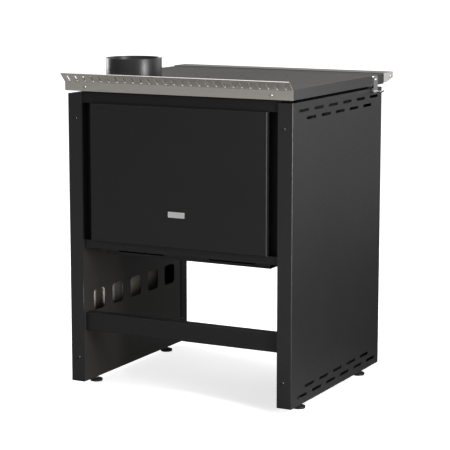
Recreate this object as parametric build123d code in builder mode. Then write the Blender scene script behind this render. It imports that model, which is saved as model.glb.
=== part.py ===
from build123d import *

import os
from math import cos, radians, sin, tan

# A free-standing wood cookstove: two hollow side columns carry a fire and oven body over
# an open log bay, with a cooktop, a rear guard and a flue collar above.
# Millimetres. X points to the right seen from the front, Y to the rear, Z up.
# The origin lies on the floor, under the middle of the whole stove.

os.makedirs("parts", exist_ok=True)

# ---------------------------------------------------------------- driving dimensions
# sheet metal
sheet = 1.5
bend_radius = 3.0
running_gap = 0.3
shaft_play = 0.05
cut_margin = 1.0

# side columns
foot_height = 20.0
panel_height = 800.0
panel_depth = 590.0
body_width = 675.0
column_width = 42.0
front_return = 36.0
liner_gap = 5.0
liner_flange = 26.0

# ventilation slots in the side panels
vent_length = 58.0
vent_height = 8.0
vent_pitch = 92.5
vent_margin = 34.0
vent_edge = 22.5
vent_row_pitch = 21.5
vent_shift = -4.0

# windows in the side liners
window_width = 60.0
window_height = 58.0
window_corner = 12.0
window_pitch = 99.2
window_margin = 62.0
window_level = 221.0
window_shift = 12.0

# feet
foot_radius = 17.5
foot_pad_height = 9.0
foot_stud_radius = 5.0
foot_stud_reach = 18.0
foot_inset_x = 21.5
foot_rear_inset = 95.0
foot_front_inset = 93.0
foot_bracket_size = 34.0
foot_bracket_height = 6.0

# rear stretcher of the log bay
stretcher_level = 145.0
stretcher_height = 50.0
stretcher_depth = 30.0
stretcher_setback = 12.0

# fire and oven body
bay_height = 378.0
floor_setback = 8.0
floor_lip = 22.0
back_setback = 34.0
frame_setback = 2.0
frame_sheet = 3.0
rear_rail_height = 29.0
rear_rail_depth = 22.0
rear_rail_setback = 4.0
rear_rail_drop = 3.0

# heat shield and its plate
shield_side_gap = 29.5
shield_depth = 14.0
shield_proud = 4.0
standoff_radius = 7.0
standoff_inset_x = 76.0
standoff_inset_z = 68.0
plate_width = 50.0
plate_height = 15.5
plate_thickness = 0.8
plate_drop = 90.0
plate_corner = 1.5

# slotted air tray under the floor
tray_side_gap = 43.5
tray_depth = 490.0
tray_height = 20.0
tray_setback = 50.0
tray_slot_length = 140.0
tray_slot_height = 5.0
tray_slot_inset = 113.0

# cooktop
top_gap = 8.0
skirt_height = 27.5
skirt_sheet = 3.0
top_plate = 6.0
top_side_overhang = 2.5
top_rear_overhang = 5.0
top_front_overhang = 7.0
top_border = 37.0
seal_height = 4.0
seal_width = 8.0
hot_plate_thickness = 9.5
expansion_gap = 1.0
ledge_width = 10.0

# lift-off rings in the hot plate
ring_center_x = -9.0
ring_center_y = 28.0
outer_ring_radius = 130.0
inner_ring_radius = 95.0
lid_radius = 58.0
lift_hole_radius = 7.0
lift_hole_depth = 6.0
ring_edge_break = 1.0

# flue collar
flue_radius = 76.0
flue_wall = 2.0
flue_side_inset = 141.5
flue_setback = 115.0
flue_height = 58.5
flue_flange_width = 16.0
flue_flange_thickness = 3.0
flue_dip = 6.0
flue_rim_round = 0.8

# rear guard
guard_sheet = 2.0
guard_rise = 24.5
guard_angle = 45.0
guard_lean = 35.0
guard_overhang = 1.0
guard_slot_margin = 17.0
guard_slot_pitch = 24.9
guard_slot_width = 5.0
guard_slot_length = 21.0
guard_slot_center = 15.75
guard_screw_inset = 61.0
guard_screw_level = 11.0

# front rail
rail_depth = 68.0
rail_sheet = 2.0
rail_rise = 2.5
rail_foot = 19.0
rail_nose_height = 17.0
rail_corner = 4.0
rail_cap_thickness = 2.0

# tool hooks on the cooktop's sides
hook_plate_width = 30.0
hook_plate_height = 48.0
hook_plate_thickness = 6.0
hook_plate_corner = 6.0
hook_setback = 74.0
hook_rod_radius = 2.5
hook_reach = 30.0
hook_tip = 14.0
hook_bend = 6.0
hook_rod_level = 4.0
hook_tip_round = 1.5

# screws
screw_head_radius = 4.6
screw_head_height = 2.6
screw_shank_radius = 2.0
screw_hole_radius = 2.2
screw_grip = 8.0
trim_screw_grip = 12.0
panel_screw_inset = 25.0
panel_screw_low = 68.0
panel_screw_high = 66.5
lip_screw_inset = 33.0

# firebox
shell_sheet = 3.0
shell_side_gap = 4.0
shell_width = 256.0
shell_depth = 455.0
ash_floor_level = 27.0
shelf_level = 132.0
brick_thickness = 25.0
brick_top_gap = 86.5
brick_front_gap = 12.0
brick_joint = 2.0
grate_side_inset = 30.0
grate_end_inset = 68.5
grate_ledge = 10.0
grate_thickness = 12.0
grate_bar = 14.0
grate_slot = 9.0

# oven
oven_sheet = 2.0
oven_fire_gap = 40.0
oven_roof_gap = 85.5
oven_depth = 420.0
oven_side_gap = 30.0
oven_level = 102.0
runner_width = 9.0
runner_level = 110.0
rack_rod_radius = 2.5
rack_bar_radius = 1.75
rack_setback = 40.0
rack_bar_count = 9
rack_play = 1.0

# front layout
front_foot = 10.0
control_strip = 42.0
ash_front_height = 108.0
soot_cover_height = 68.0
door_gap = 8.0
soot_gap = 6.0
door_split_shift = 28.0
door_split_gap = 16.0
door_side_inset = 13.5
oven_door_side_inset = 7.5
door_thickness = 18.0
door_standoff = 6.0
door_corner = 6.0
door_edge = 3.0

# firebox door
fire_opening_border = 22.0
fire_window_side = 20.0
fire_window_end = 29.0
glass_lap = 10.0
glass_thickness = 4.0
glass_gap = 0.5
rope_width = 8.0
rope_outset = 12.8
clip_length = 26.0
clip_width = 12.0
clip_thickness = 1.5
hinge_pin_radius = 4.0
hinge_knuckle_radius = 8.0
hinge_leaf_thickness = 8.0
hinge_boss_radius = 7.5
hinge_axis_offset = 10.0
hinge_axis_lead = 10.0
hinge_knuckle_height = 26.0
hinge_bracket_height = 14.0
hinge_end_inset = 46.0
latch_inset = 13.0
latch_spindle_radius = 5.0
latch_tongue_reach = 24.0
latch_tongue_width = 10.0
latch_tongue_thickness = 3.0
latch_arm_width = 14.0
latch_arm_thickness = 6.0
latch_arm_length = 118.0
latch_boss_radius = 10.0
latch_lead = 26.0
grip_length = 84.0
grip_radius = 11.0
grip_round = 3.6
keeper_lip = 10.0
keeper_sheet = 3.0
keeper_height = 24.0
keeper_gap = 1.0
latch_gap = 0.8

# ash drawer
drawer_sheet = 1.5
drawer_side_inset = 7.0
drawer_depth = 380.0
drawer_height = 74.0
drawer_side_gap = 1.5
drawer_front_thickness = 10.0
drawer_knob_radius = 14.0
drawer_knob_length = 18.0
drawer_knob_round = 4.6
drawer_neck_radius = 6.0
drawer_neck_length = 14.0

# airwash slider above the firebox door
slider_level = 28.0
slider_width = 130.0
slider_height = 22.0
slider_sheet = 2.0
slider_travel = 36.0
slider_knob_radius = 8.0
slider_knob_length = 22.0
slider_knob_round = 2.6
slider_shank_radius = 3.5
slider_guide_height = 4.0
slider_slot_play = 1.5

# oven door
oven_window_side = 48.0
oven_window_low = 44.0
oven_window_drop = 110.0
oven_notch = 22.0
oven_notch_gap = 8.0
oven_ear_radius = 7.0
oven_axis_level = 9.0
oven_bracket_width = 8.0
oven_bracket_gap = 4.0
oven_pin_engage = 10.0
oven_handle_radius = 8.0
oven_handle_inset = 33.0
oven_handle_lead = 32.0
oven_handle_drop = 20.0
oven_handle_chamfer = 2.0
oven_post_radius = 5.0
oven_post_inset = 25.0
dial_radius = 24.0
dial_face_radius = 19.7
dial_depth = 6.0
dial_recess = 3.0
dial_round = 1.5
dial_drop = 64.0

# soot cover under the oven
soot_opening_inset = 24.0
soot_cover_thickness = 3.0
soot_knob_radius = 8.0
soot_knob_length = 14.0
soot_knob_chamfer = 1.2
soot_shank_radius = 3.0
soot_shank_reach = 10.0
soot_screw_margin = 15.0

# smoke bypass: a hanging flap behind the hot plate, pulled open by a rod
flap_sheet = 2.0
flap_floor_gap = 8.0
flap_side_gap = 3.0
flap_shaft_radius = 4.0
flap_axis_drop = 6.5
flap_fork_width = 11.0
flap_fork_top = 34.0
flap_frame_sheet = 3.0
flap_frame_depth = 20.0
flap_flue_gap = 8.0
rod_radius = 4.0
rod_drop = 40.0
rod_side_shift = 5.0
rod_disc_radius = 7.0
rod_disc_thickness = 3.0
rod_disc_gap = 0.5
rod_knob_radius = 11.0
rod_knob_neck = 6.5
rod_knob_face = 9.0
rod_knob_belly = 12.0
rod_knob_length = 20.0
rod_knob_lead = 12.0

# ---------------------------------------------------------------- derived places
guard_slope = radians(guard_angle)
rear_reach = top_rear_overhang + guard_lean * sin(guard_slope) + guard_sheet * cos(guard_slope)
front_reach = top_front_overhang + rail_depth
overall_depth = front_reach + panel_depth + rear_reach

rear_y = overall_depth / 2 - rear_reach
front_y = rear_y - panel_depth
middle_y = (rear_y + front_y) / 2
side_x = body_width / 2
liner_x = side_x - column_width
panel_low = foot_height
panel_top = panel_low + panel_height

skirt_low = panel_top + top_gap
top_z = skirt_low + skirt_height
top_under = top_z - top_plate
top_x = side_x + top_side_overhang
top_rear_y = rear_y + top_rear_overhang
top_front_y = front_y - top_front_overhang
carcass_top = top_under - seal_height

floor_z = panel_low + bay_height
floor_top = floor_z + sheet
wall_x = liner_x - sheet
back_outer_y = rear_y - back_setback
back_inner_y = back_outer_y - sheet
frame_front_y = front_y + frame_setback
frame_back_y = frame_front_y + frame_sheet

rear_rail_high = skirt_low - rear_rail_drop
rear_rail_low = rear_rail_high - rear_rail_height
shield_low = floor_z + floor_lip
shield_height = rear_rail_low - shield_low
shield_width = 2 * (liner_x - shield_side_gap)
standoff_spread_x = shield_width - 2 * standoff_inset_x
standoff_spread_z = shield_height - 2 * standoff_inset_z
tray_width = 2 * (liner_x - tray_side_gap)
tray_slot_spacing = tray_width - 2 * tray_slot_inset
shield_face_y = rear_y + shield_proud
shield_inner_y = shield_face_y - sheet

shell_left = -(wall_x - shell_side_gap)
shell_right = shell_left + shell_width
shell_rear_y = frame_back_y + shell_depth
fire_x = (shell_left + shell_right) / 2
fire_left = shell_left + shell_sheet + brick_thickness
fire_right = shell_right - shell_sheet - brick_thickness
ash_floor = floor_z + ash_floor_level
shelf_z = floor_z + shelf_level
shelf_top = shelf_z + shell_sheet
brick_top = carcass_top - brick_top_gap
grate_hole_width = fire_right - fire_left - 2 * grate_side_inset
grate_hole_depth = shell_depth - shell_sheet - brick_thickness - 2 * grate_end_inset
grate_slot_count = int((grate_hole_depth - grate_bar) / (grate_bar + grate_slot))
drawer_width = fire_right - fire_left - 2 * drawer_side_inset

oven_left = shell_right + oven_fire_gap + oven_sheet
oven_right = wall_x - oven_side_gap - oven_sheet
oven_low = floor_z + oven_level
oven_top = carcass_top - oven_roof_gap
oven_high = oven_top - oven_sheet
oven_rear_y = frame_back_y + oven_depth

door_back_y = frame_front_y - door_standoff
door_front_y = door_back_y - door_thickness
door_top = skirt_low - control_strip
front_low = floor_z + front_foot
ash_front_top = front_low + ash_front_height
soot_top = front_low + soot_cover_height
fire_door_low = ash_front_top + door_gap
oven_door_low = soot_top + soot_gap
door_split = shell_right + door_split_shift
fire_door_left = -(liner_x - door_side_inset)
fire_door_right = door_split - door_split_gap / 2
oven_door_left = door_split + door_split_gap / 2
oven_door_right = liner_x - oven_door_side_inset
oven_door_x = (oven_door_left + oven_door_right) / 2
fire_opening_low = fire_door_low + fire_opening_border
fire_opening_high = door_top - fire_opening_border
fire_window_z = (fire_opening_low + fire_opening_high) / 2
fire_window_width = fire_right - fire_left - 2 * fire_window_side
fire_window_height = fire_opening_high - fire_opening_low - 2 * fire_window_end
hinge_spread = door_top - fire_door_low - 2 * hinge_end_inset
oven_window_width = oven_door_right - oven_door_left - 2 * oven_window_side
oven_window_height = door_top - oven_window_drop - oven_door_low - oven_window_low
oven_handle_length = oven_door_right - oven_door_left - 2 * oven_handle_inset
oven_post_spacing = oven_handle_length - 2 * oven_post_inset
soot_opening_left = oven_left + soot_opening_inset
soot_opening_right = oven_right - soot_opening_inset
soot_screw_places = (soot_opening_left - soot_screw_margin, soot_opening_right + soot_screw_margin)
soot_z = (front_low + soot_top) / 2

flue_x = side_x - flue_side_inset
flue_y = rear_y - flue_setback
flap_y = flue_y - flue_radius - flap_flue_gap
plate_x = top_x - top_border
plate_front_y = top_front_y + top_border
plate_rear_y = flap_y - flap_shaft_radius - top_plate
plate_y = (plate_front_y + plate_rear_y) / 2
plate_mid_z = top_z - hot_plate_thickness / 2
ring_x = ring_center_x
ring_y = plate_y + ring_center_y

vent_count = int((panel_depth - 2 * vent_margin - vent_length) / vent_pitch) + 1
window_count = int((panel_depth - 2 * window_margin - window_width) / window_pitch) + 1
guard_x = top_x + guard_overhang
guard_slot_count = int(2 * (guard_x - guard_slot_margin) / guard_slot_pitch) + 1
guard_screw_x = top_x - guard_screw_inset
rod_x = (oven_left + oven_right) / 2 + rod_side_shift


# ---------------------------------------------------------------- small helpers
def block(x0, x1, y0, y1, z0, z1, mode=Mode.ADD):
    """A rectangular block between two opposite corners."""
    with Locations(((x0 + x1) / 2, (y0 + y1) / 2, (z0 + z1) / 2)):
        Box(x1 - x0, y1 - y0, z1 - z0, mode=mode)


def rod_along_x(x0, x1, y, z, radius, mode=Mode.ADD):
    """A round bar along X."""
    with Locations(((x0 + x1) / 2, y, z)):
        Cylinder(radius, x1 - x0, rotation=(0, 90, 0), mode=mode)


def rod_along_y(x, y0, y1, z, radius, mode=Mode.ADD):
    """A round bar along Y."""
    with Locations((x, (y0 + y1) / 2, z)):
        Cylinder(radius, y1 - y0, rotation=(90, 0, 0), mode=mode)


def rod_along_z(x, y, z0, z1, radius, mode=Mode.ADD):
    """An upright round bar."""
    with Locations((x, y, (z0 + z1) / 2)):
        Cylinder(radius, z1 - z0, mode=mode)


def save(part, label):
    """Names a finished piece and writes its file."""
    part.label = label
    export_step(part, f"parts/{label}.step")


# ---------------------------------------------------------------- side columns
foot_places = {
    "rear_left": (-(side_x - foot_inset_x), rear_y - foot_rear_inset),
    "rear_right": (side_x - foot_inset_x, rear_y - foot_rear_inset),
    "front_left": (-(side_x - foot_inset_x), front_y + foot_front_inset),
    "front_right": (side_x - foot_inset_x, front_y + foot_front_inset),
}
panel_screw_levels = (panel_low + panel_screw_low, panel_top - panel_screw_high)
panel_screw_x = side_x - panel_screw_inset
lip_screw_y = front_y + lip_screw_inset
lip_screw_z = panel_screw_levels[0]
vent_rows = (
    (panel_top - vent_edge, vent_count),
    (panel_top - vent_edge - vent_row_pitch, vent_count - 1),
    (panel_low + vent_edge, vent_count),
    (panel_low + vent_edge + vent_row_pitch, vent_count - 1),
)


def side_panel(side, label):
    """Outer skin of a column: one folded sheet with vent slots, flanges and a front return."""
    with BuildPart() as panel:
        with BuildSketch(Plane.XY.offset(panel_low)) as outline:
            with Locations((side * (side_x - column_width / 2), middle_y)):
                Rectangle(column_width, panel_depth)
            fillet(outline.vertices().group_by(Axis.X)[0 if side < 0 else -1], bend_radius)
        extrude(amount=panel_height)
        with BuildSketch(Plane.XY.offset(panel_low + sheet)) as hollow:
            with Locations((side * (side_x - sheet - column_width / 2), middle_y)):
                Rectangle(column_width, panel_depth - 2 * sheet)
            fillet(hollow.vertices().group_by(Axis.X)[0 if side < 0 else -1], bend_radius - sheet)
        extrude(amount=panel_height - 2 * sheet, mode=Mode.SUBTRACT)
        lip_x = sorted((side * liner_x, side * (liner_x + sheet)))
        block(lip_x[0], lip_x[1], front_y, front_y + front_return, panel_low, panel_top)
        for level, count in vent_rows:
            with BuildSketch(Plane.YZ.offset(side * (side_x - sheet / 2))):
                with Locations((middle_y + vent_shift, level)):
                    with GridLocations(vent_pitch, vent_row_pitch, count, 1):
                        SlotOverall(vent_length, vent_height)
            extrude(amount=sheet, both=True, mode=Mode.SUBTRACT)
        for level in panel_screw_levels:
            rod_along_y(side * panel_screw_x, rear_y - 2 * sheet, rear_y + sheet, level,
                        screw_hole_radius, Mode.SUBTRACT)
        rod_along_x(side * liner_x - 2 * sheet, side * liner_x + 2 * sheet, lip_screw_y,
                    lip_screw_z, screw_hole_radius, Mode.SUBTRACT)
        for x, y in foot_places.values():
            if x * side > 0:
                rod_along_z(x, y, panel_low - sheet, panel_low + 2 * sheet,
                            foot_stud_radius + running_gap, Mode.SUBTRACT)
    save(panel.part, label)


side_panel(-1, "left_side_panel")
side_panel(1, "right_side_panel")


def side_liner(side, label):
    """Inner skin of a column: a flat sheet with five windows and a rear flange."""
    rear = rear_y - sheet
    front = front_y + front_return + liner_gap
    low = panel_low + sheet
    high = panel_top - sheet
    with BuildPart() as liner:
        with BuildSketch(Plane.YZ.offset(side * (liner_x + sheet / 2))):
            with Locations(((rear + front) / 2, (low + high) / 2)):
                Rectangle(rear - front, high - low)
            with Locations((middle_y + window_shift, panel_low + window_level)):
                with GridLocations(window_pitch, window_height, window_count, 1):
                    RectangleRounded(window_width, window_height, window_corner, mode=Mode.SUBTRACT)
        extrude(amount=sheet / 2, both=True)
        flange_x = sorted((side * liner_x, side * (liner_x + liner_flange)))
        block(flange_x[0], flange_x[1], rear - sheet, rear, low, high)
        for level in panel_screw_levels:
            rod_along_y(side * panel_screw_x, rear - 2 * sheet, rear + sheet, level,
                        screw_hole_radius, Mode.SUBTRACT)
    save(liner.part, label)


side_liner(-1, "left_side_liner")
side_liner(1, "right_side_liner")

# tapped blocks for the feet, welded on the columns' bottom flanges
with BuildPart() as foot_brackets:
    for x, y in foot_places.values():
        with Locations((x, y, panel_low + sheet + foot_bracket_height / 2)):
            Box(foot_bracket_size, foot_bracket_size, foot_bracket_height)
        rod_along_z(x, y, panel_low, panel_low + sheet + 2 * foot_bracket_height,
                    foot_stud_radius + shaft_play, Mode.SUBTRACT)
save(foot_brackets.part, "foot_brackets")

# levelling feet: a round pad moulded on a threaded stud
for place, (x, y) in foot_places.items():
    with BuildPart() as foot:
        rod_along_z(x, y, 0, foot_pad_height, foot_radius)
        chamfer(foot.edges().filter_by(GeomType.CIRCLE).group_by(Axis.Z)[-1], foot_pad_height / 4)
        rod_along_z(x, y, foot_pad_height, panel_low + foot_stud_reach, foot_stud_radius)
    save(foot.part, f"foot_{place}")

# rear stretcher: a channel between the two liners, open towards the front
with BuildPart() as rear_stretcher:
    low = panel_low + stretcher_level
    high = low + stretcher_height
    outer_y = rear_y - stretcher_setback
    inner_y = outer_y - stretcher_depth
    block(-liner_x, liner_x, inner_y, outer_y, low, high)
    block(-liner_x + sheet, liner_x - sheet, inner_y - sheet, outer_y - sheet,
          low + sheet, high - sheet, Mode.SUBTRACT)
    fillet(rear_stretcher.edges().filter_by(Axis.X).group_by(Axis.Y)[-1], sheet)
save(rear_stretcher.part, "rear_stretcher")

# ---------------------------------------------------------------- fire and oven body
# floor sheet with its rear edge folded up
with BuildPart() as body_floor:
    block(-liner_x, liner_x, frame_back_y, rear_y - floor_setback, floor_z, floor_top)
    block(-liner_x, liner_x, rear_y - floor_setback - sheet, rear_y - floor_setback,
          floor_z, floor_z + floor_lip)
save(body_floor.part, "body_floor")

# side walls of the body, flat against the liners
with BuildPart() as body_walls:
    for side in (-1, 1):
        wall = sorted((side * wall_x, side * liner_x))
        block(wall[0], wall[1], frame_back_y, back_outer_y, floor_top, carcass_top)
save(body_walls.part, "body_walls")

with BuildPart() as body_back:
    block(-wall_x, wall_x, back_inner_y, back_outer_y, floor_top, carcass_top)
save(body_back.part, "body_back")

# rail across the back under the cooktop, a channel open towards the front
with BuildPart() as rear_top_rail:
    low, high = rear_rail_low, rear_rail_high
    outer_y = rear_y - rear_rail_setback
    block(-liner_x, liner_x, outer_y - rear_rail_depth, outer_y, low, high)
    block(-liner_x + sheet, liner_x - sheet, outer_y - rear_rail_depth - sheet, outer_y - sheet,
          low + sheet, high - sheet, Mode.SUBTRACT)
    block(-liner_x, liner_x, back_outer_y, outer_y - rear_rail_depth, high - sheet, high)
save(rear_top_rail.part, "rear_top_rail")

# heat shield: a shallow tray with its folded edges towards the back wall
with BuildPart() as heat_shield:
    with BuildSketch(Plane.XZ.offset(-shield_face_y)):
        with Locations((0, shield_low + shield_height / 2)):
            Rectangle(shield_width, shield_height)
    extrude(amount=shield_depth)
    fillet(heat_shield.faces().sort_by(Axis.Y)[-1].edges(), bend_radius)
    block(-shield_width / 2 + sheet, shield_width / 2 - sheet,
          shield_face_y - shield_depth - sheet, shield_inner_y,
          shield_low + sheet, shield_low + shield_height - sheet, Mode.SUBTRACT)
save(heat_shield.part, "heat_shield")

with BuildPart() as shield_standoffs:
    for x in (-standoff_spread_x / 2, standoff_spread_x / 2):
        for z in (-standoff_spread_z / 2, standoff_spread_z / 2):
            rod_along_y(x, back_outer_y, shield_inner_y, shield_low + shield_height / 2 + z,
                        standoff_radius)
save(shield_standoffs.part, "shield_standoffs")

with BuildPart() as rating_plate:
    plate_z = shield_low + plate_drop
    with BuildSketch(Plane.XZ.offset(-shield_face_y - plate_thickness)):
        with Locations((0, plate_z)):
            RectangleRounded(plate_width, plate_height, plate_corner)
    extrude(amount=plate_thickness)
save(rating_plate.part, "rating_plate")

# air tray under the floor, with two slots in its rear wall
with BuildPart() as air_tray:
    rear = rear_y - tray_setback
    block(-tray_width / 2, tray_width / 2, rear - tray_depth, rear, floor_z - tray_height, floor_z)
    block(-tray_width / 2 + sheet, tray_width / 2 - sheet, rear - tray_depth + sheet, rear - sheet,
          floor_z - tray_height + sheet, floor_z + sheet, Mode.SUBTRACT)
    with BuildSketch(Plane.XZ.offset(-rear)):
        with Locations((0, floor_z - tray_height / 2)):
            with GridLocations(tray_slot_spacing, tray_height, 2, 1):
                SlotOverall(tray_slot_length, tray_slot_height)
    extrude(amount=2 * sheet, both=True, mode=Mode.SUBTRACT)
save(air_tray.part, "air_tray")

# front plate of the body, with its four openings and the guides of the airwash slider
slider_z = door_top + slider_level
with BuildPart() as front_frame:
    block(-wall_x, wall_x, frame_front_y, frame_back_y, floor_z, carcass_top)
    through = (frame_front_y - frame_sheet, frame_back_y + frame_sheet)
    block(fire_left, fire_right, *through, fire_opening_low, fire_opening_high, Mode.SUBTRACT)
    block(fire_x - drawer_width / 2 - drawer_side_gap, fire_x + drawer_width / 2 + drawer_side_gap,
          *through, ash_floor, ash_floor + drawer_height + 2 * drawer_side_gap, Mode.SUBTRACT)
    block(oven_left, oven_right, *through, oven_low, oven_high, Mode.SUBTRACT)
    block(soot_opening_left, soot_opening_right, *through,
          front_low + soot_opening_inset / 2, soot_top - soot_opening_inset / 2, Mode.SUBTRACT)
    for x in soot_screw_places:
        rod_along_y(x, *through, soot_z, soot_shank_radius + shaft_play, Mode.SUBTRACT)
    rod_along_y(rod_x, *through, top_under - flap_axis_drop - rod_drop, rod_radius + shaft_play,
                Mode.SUBTRACT)
    with BuildSketch(Plane.XZ.offset(-frame_back_y)):
        with Locations((fire_x + slider_travel / 2, slider_z)):
            SlotOverall(slider_travel + 2 * (slider_shank_radius + slider_slot_play),
                        2 * (slider_shank_radius + slider_slot_play))
    extrude(amount=2 * frame_sheet, both=True, mode=Mode.SUBTRACT)
    for side in (-1, 1):
        edge = slider_z + side * (slider_height / 2 + running_gap)
        guide = sorted((edge, edge + side * slider_guide_height))
        block(fire_x - slider_width / 2, fire_x + slider_width / 2 + slider_travel,
              frame_back_y, frame_back_y + 2 * slider_sheet, guide[0], guide[1])
save(front_frame.part, "front_frame")

# ---------------------------------------------------------------- firebox
# welded box, open at the front and the top, with a shelf for the grate
with BuildPart() as firebox_shell:
    block(shell_left, shell_right, frame_back_y, shell_rear_y, floor_top, carcass_top)
    block(shell_left + shell_sheet, shell_right - shell_sheet,
          frame_back_y - shell_sheet, shell_rear_y - shell_sheet,
          ash_floor, shelf_z, Mode.SUBTRACT)
    block(shell_left + shell_sheet, shell_right - shell_sheet,
          frame_back_y - shell_sheet, shell_rear_y - shell_sheet,
          shelf_top, carcass_top + shell_sheet, Mode.SUBTRACT)
    block(shell_left + shell_sheet, shell_right - shell_sheet,
          frame_back_y - shell_sheet, shell_rear_y - shell_sheet,
          floor_top - shell_sheet, ash_floor - shell_sheet, Mode.SUBTRACT)
    block(shell_right - 2 * shell_sheet, shell_right + shell_sheet,
          frame_back_y - shell_sheet, shell_rear_y + shell_sheet,
          oven_top, carcass_top + shell_sheet, Mode.SUBTRACT)
    grate_y = (frame_back_y + shell_rear_y - shell_sheet - brick_thickness) / 2
    with Locations((fire_x, grate_y, shelf_z + shell_sheet / 2)):
        Box(grate_hole_width, grate_hole_depth, 2 * shell_sheet, mode=Mode.SUBTRACT)
save(firebox_shell.part, "firebox_shell")

# firebricks: two on each side and one across the rear, standing on the shelf
with BuildPart() as firebricks:
    brick_front = frame_back_y + brick_front_gap
    brick_rear = shell_rear_y - shell_sheet - brick_thickness - brick_joint
    brick_length = (brick_rear - brick_front - brick_joint) / 2
    inner_left = shell_left + shell_sheet
    inner_right = shell_right - shell_sheet
    for start in (brick_front, brick_front + brick_length + brick_joint):
        block(inner_left, fire_left, start, start + brick_length, shelf_top, brick_top)
        block(fire_right, inner_right, start, start + brick_length, shelf_top, brick_top)
    block(inner_left, inner_right, shell_rear_y - shell_sheet - brick_thickness,
          shell_rear_y - shell_sheet, shelf_top, brick_top)
save(firebricks.part, "firebricks")

# cast grate lying over the hole in the shelf
with BuildPart() as fire_grate:
    with BuildSketch(Plane.XY.offset(shelf_top)):
        with Locations((fire_x, grate_y)):
            RectangleRounded(grate_hole_width + 2 * grate_ledge, grate_hole_depth + 2 * grate_ledge,
                             grate_ledge)
            with GridLocations(grate_hole_width, grate_bar + grate_slot, 1, grate_slot_count):
                SlotOverall(grate_hole_width - grate_bar, grate_slot, mode=Mode.SUBTRACT)
    extrude(amount=grate_thickness)
save(fire_grate.part, "fire_grate")

# ---------------------------------------------------------------- oven
runner_z = oven_low + runner_level
with BuildPart() as oven_liner:
    block(oven_left - oven_sheet, oven_right + oven_sheet, frame_back_y, oven_rear_y + oven_sheet,
          oven_low - oven_sheet, oven_top)
    block(oven_left, oven_right, frame_back_y - oven_sheet, oven_rear_y, oven_low, oven_high,
          Mode.SUBTRACT)
    for x0, x1 in ((oven_left, oven_left + runner_width), (oven_right - runner_width, oven_right)):
        block(x0, x1, frame_back_y, oven_rear_y, runner_z - oven_sheet, runner_z)
save(oven_liner.part, "oven_liner")

# wire rack: a round frame with bars across it, lying on the runners
with BuildPart() as oven_rack:
    rack_z = runner_z + running_gap + rack_rod_radius
    rack_left = oven_left + rack_play + rack_rod_radius
    rack_right = oven_right - rack_play - rack_rod_radius
    rack_rear = oven_rear_y - 2 * rack_play - rack_rod_radius
    rack_front = rack_rear - oven_depth + rack_setback
    for y in (rack_front, rack_rear):
        rod_along_x(rack_left, rack_right, y, rack_z, rack_rod_radius)
    for x in (rack_left, rack_right):
        rod_along_y(x, rack_front, rack_rear, rack_z, rack_rod_radius)
        for y in (rack_front, rack_rear):
            with Locations((x, y, rack_z)):
                Sphere(rack_rod_radius)
    bar_pitch = (rack_right - rack_left) / (rack_bar_count + 1)
    for index in range(rack_bar_count):
        rod_along_y(rack_left + (index + 1) * bar_pitch, rack_front, rack_rear, rack_z,
                    rack_bar_radius)
save(oven_rack.part, "oven_rack")

# ---------------------------------------------------------------- smoke bypass
flap_axis_z = top_under - flap_axis_drop
flap_length = flap_axis_z - oven_top - flap_frame_sheet - flap_floor_gap
rod_z = flap_axis_z - rod_drop
flap_left = oven_left + flap_frame_sheet + flap_side_gap
flap_right = wall_x - flap_frame_sheet - flap_side_gap
with BuildPart() as bypass_frame:
    for x0, x1 in ((oven_left, oven_left + flap_frame_sheet), (wall_x - flap_frame_sheet, wall_x)):
        block(x0, x1, flap_y - flap_frame_depth / 2, flap_y + flap_frame_depth / 2,
              oven_top, top_under - running_gap)
        rod_along_x(x0 - sheet, x1 + sheet, flap_y, flap_axis_z, flap_shaft_radius + shaft_play,
                    Mode.SUBTRACT)
    block(oven_left, wall_x, flap_y - flap_frame_depth / 2, flap_y + flap_frame_depth / 2,
          oven_top, oven_top + flap_frame_sheet)
save(bypass_frame.part, "bypass_frame")

with BuildPart() as bypass_flap:
    rod_along_x(flap_left - flap_side_gap - flap_frame_sheet + running_gap,
                flap_right + flap_side_gap + flap_frame_sheet - running_gap,
                flap_y, flap_axis_z, flap_shaft_radius)
    block(flap_left, flap_right, flap_y - flap_sheet / 2, flap_y + flap_sheet / 2,
          flap_axis_z - flap_length, flap_axis_z)
    block(rod_x - flap_fork_width / 2, rod_x + flap_fork_width / 2, flap_y - flap_sheet,
          flap_y + flap_sheet, flap_axis_z - flap_length - flap_sheet, flap_axis_z - flap_fork_top,
          Mode.SUBTRACT)
save(bypass_flap.part, "bypass_flap")

with BuildPart() as bypass_rod:
    disc_front = flap_y + flap_sheet / 2 + rod_disc_gap
    knob_back = frame_front_y - rod_knob_lead
    rod_along_y(rod_x, knob_back, disc_front + rod_disc_thickness, rod_z, rod_radius)
    rod_along_y(rod_x, disc_front, disc_front + rod_disc_thickness, rod_z, rod_disc_radius)
    with BuildSketch(Plane.XY.offset(rod_z)) as knob_profile:
        with BuildLine():
            Polyline((rod_x, knob_back), (rod_x + rod_knob_neck, knob_back),
                     (rod_x + rod_knob_radius, knob_back - rod_knob_belly),
                     (rod_x + rod_knob_face, knob_back - rod_knob_length),
                     (rod_x, knob_back - rod_knob_length), close=True)
        make_face()
    revolve(axis=Axis((rod_x, 0, rod_z), (0, 1, 0)))
save(bypass_rod.part, "bypass_rod")

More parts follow.
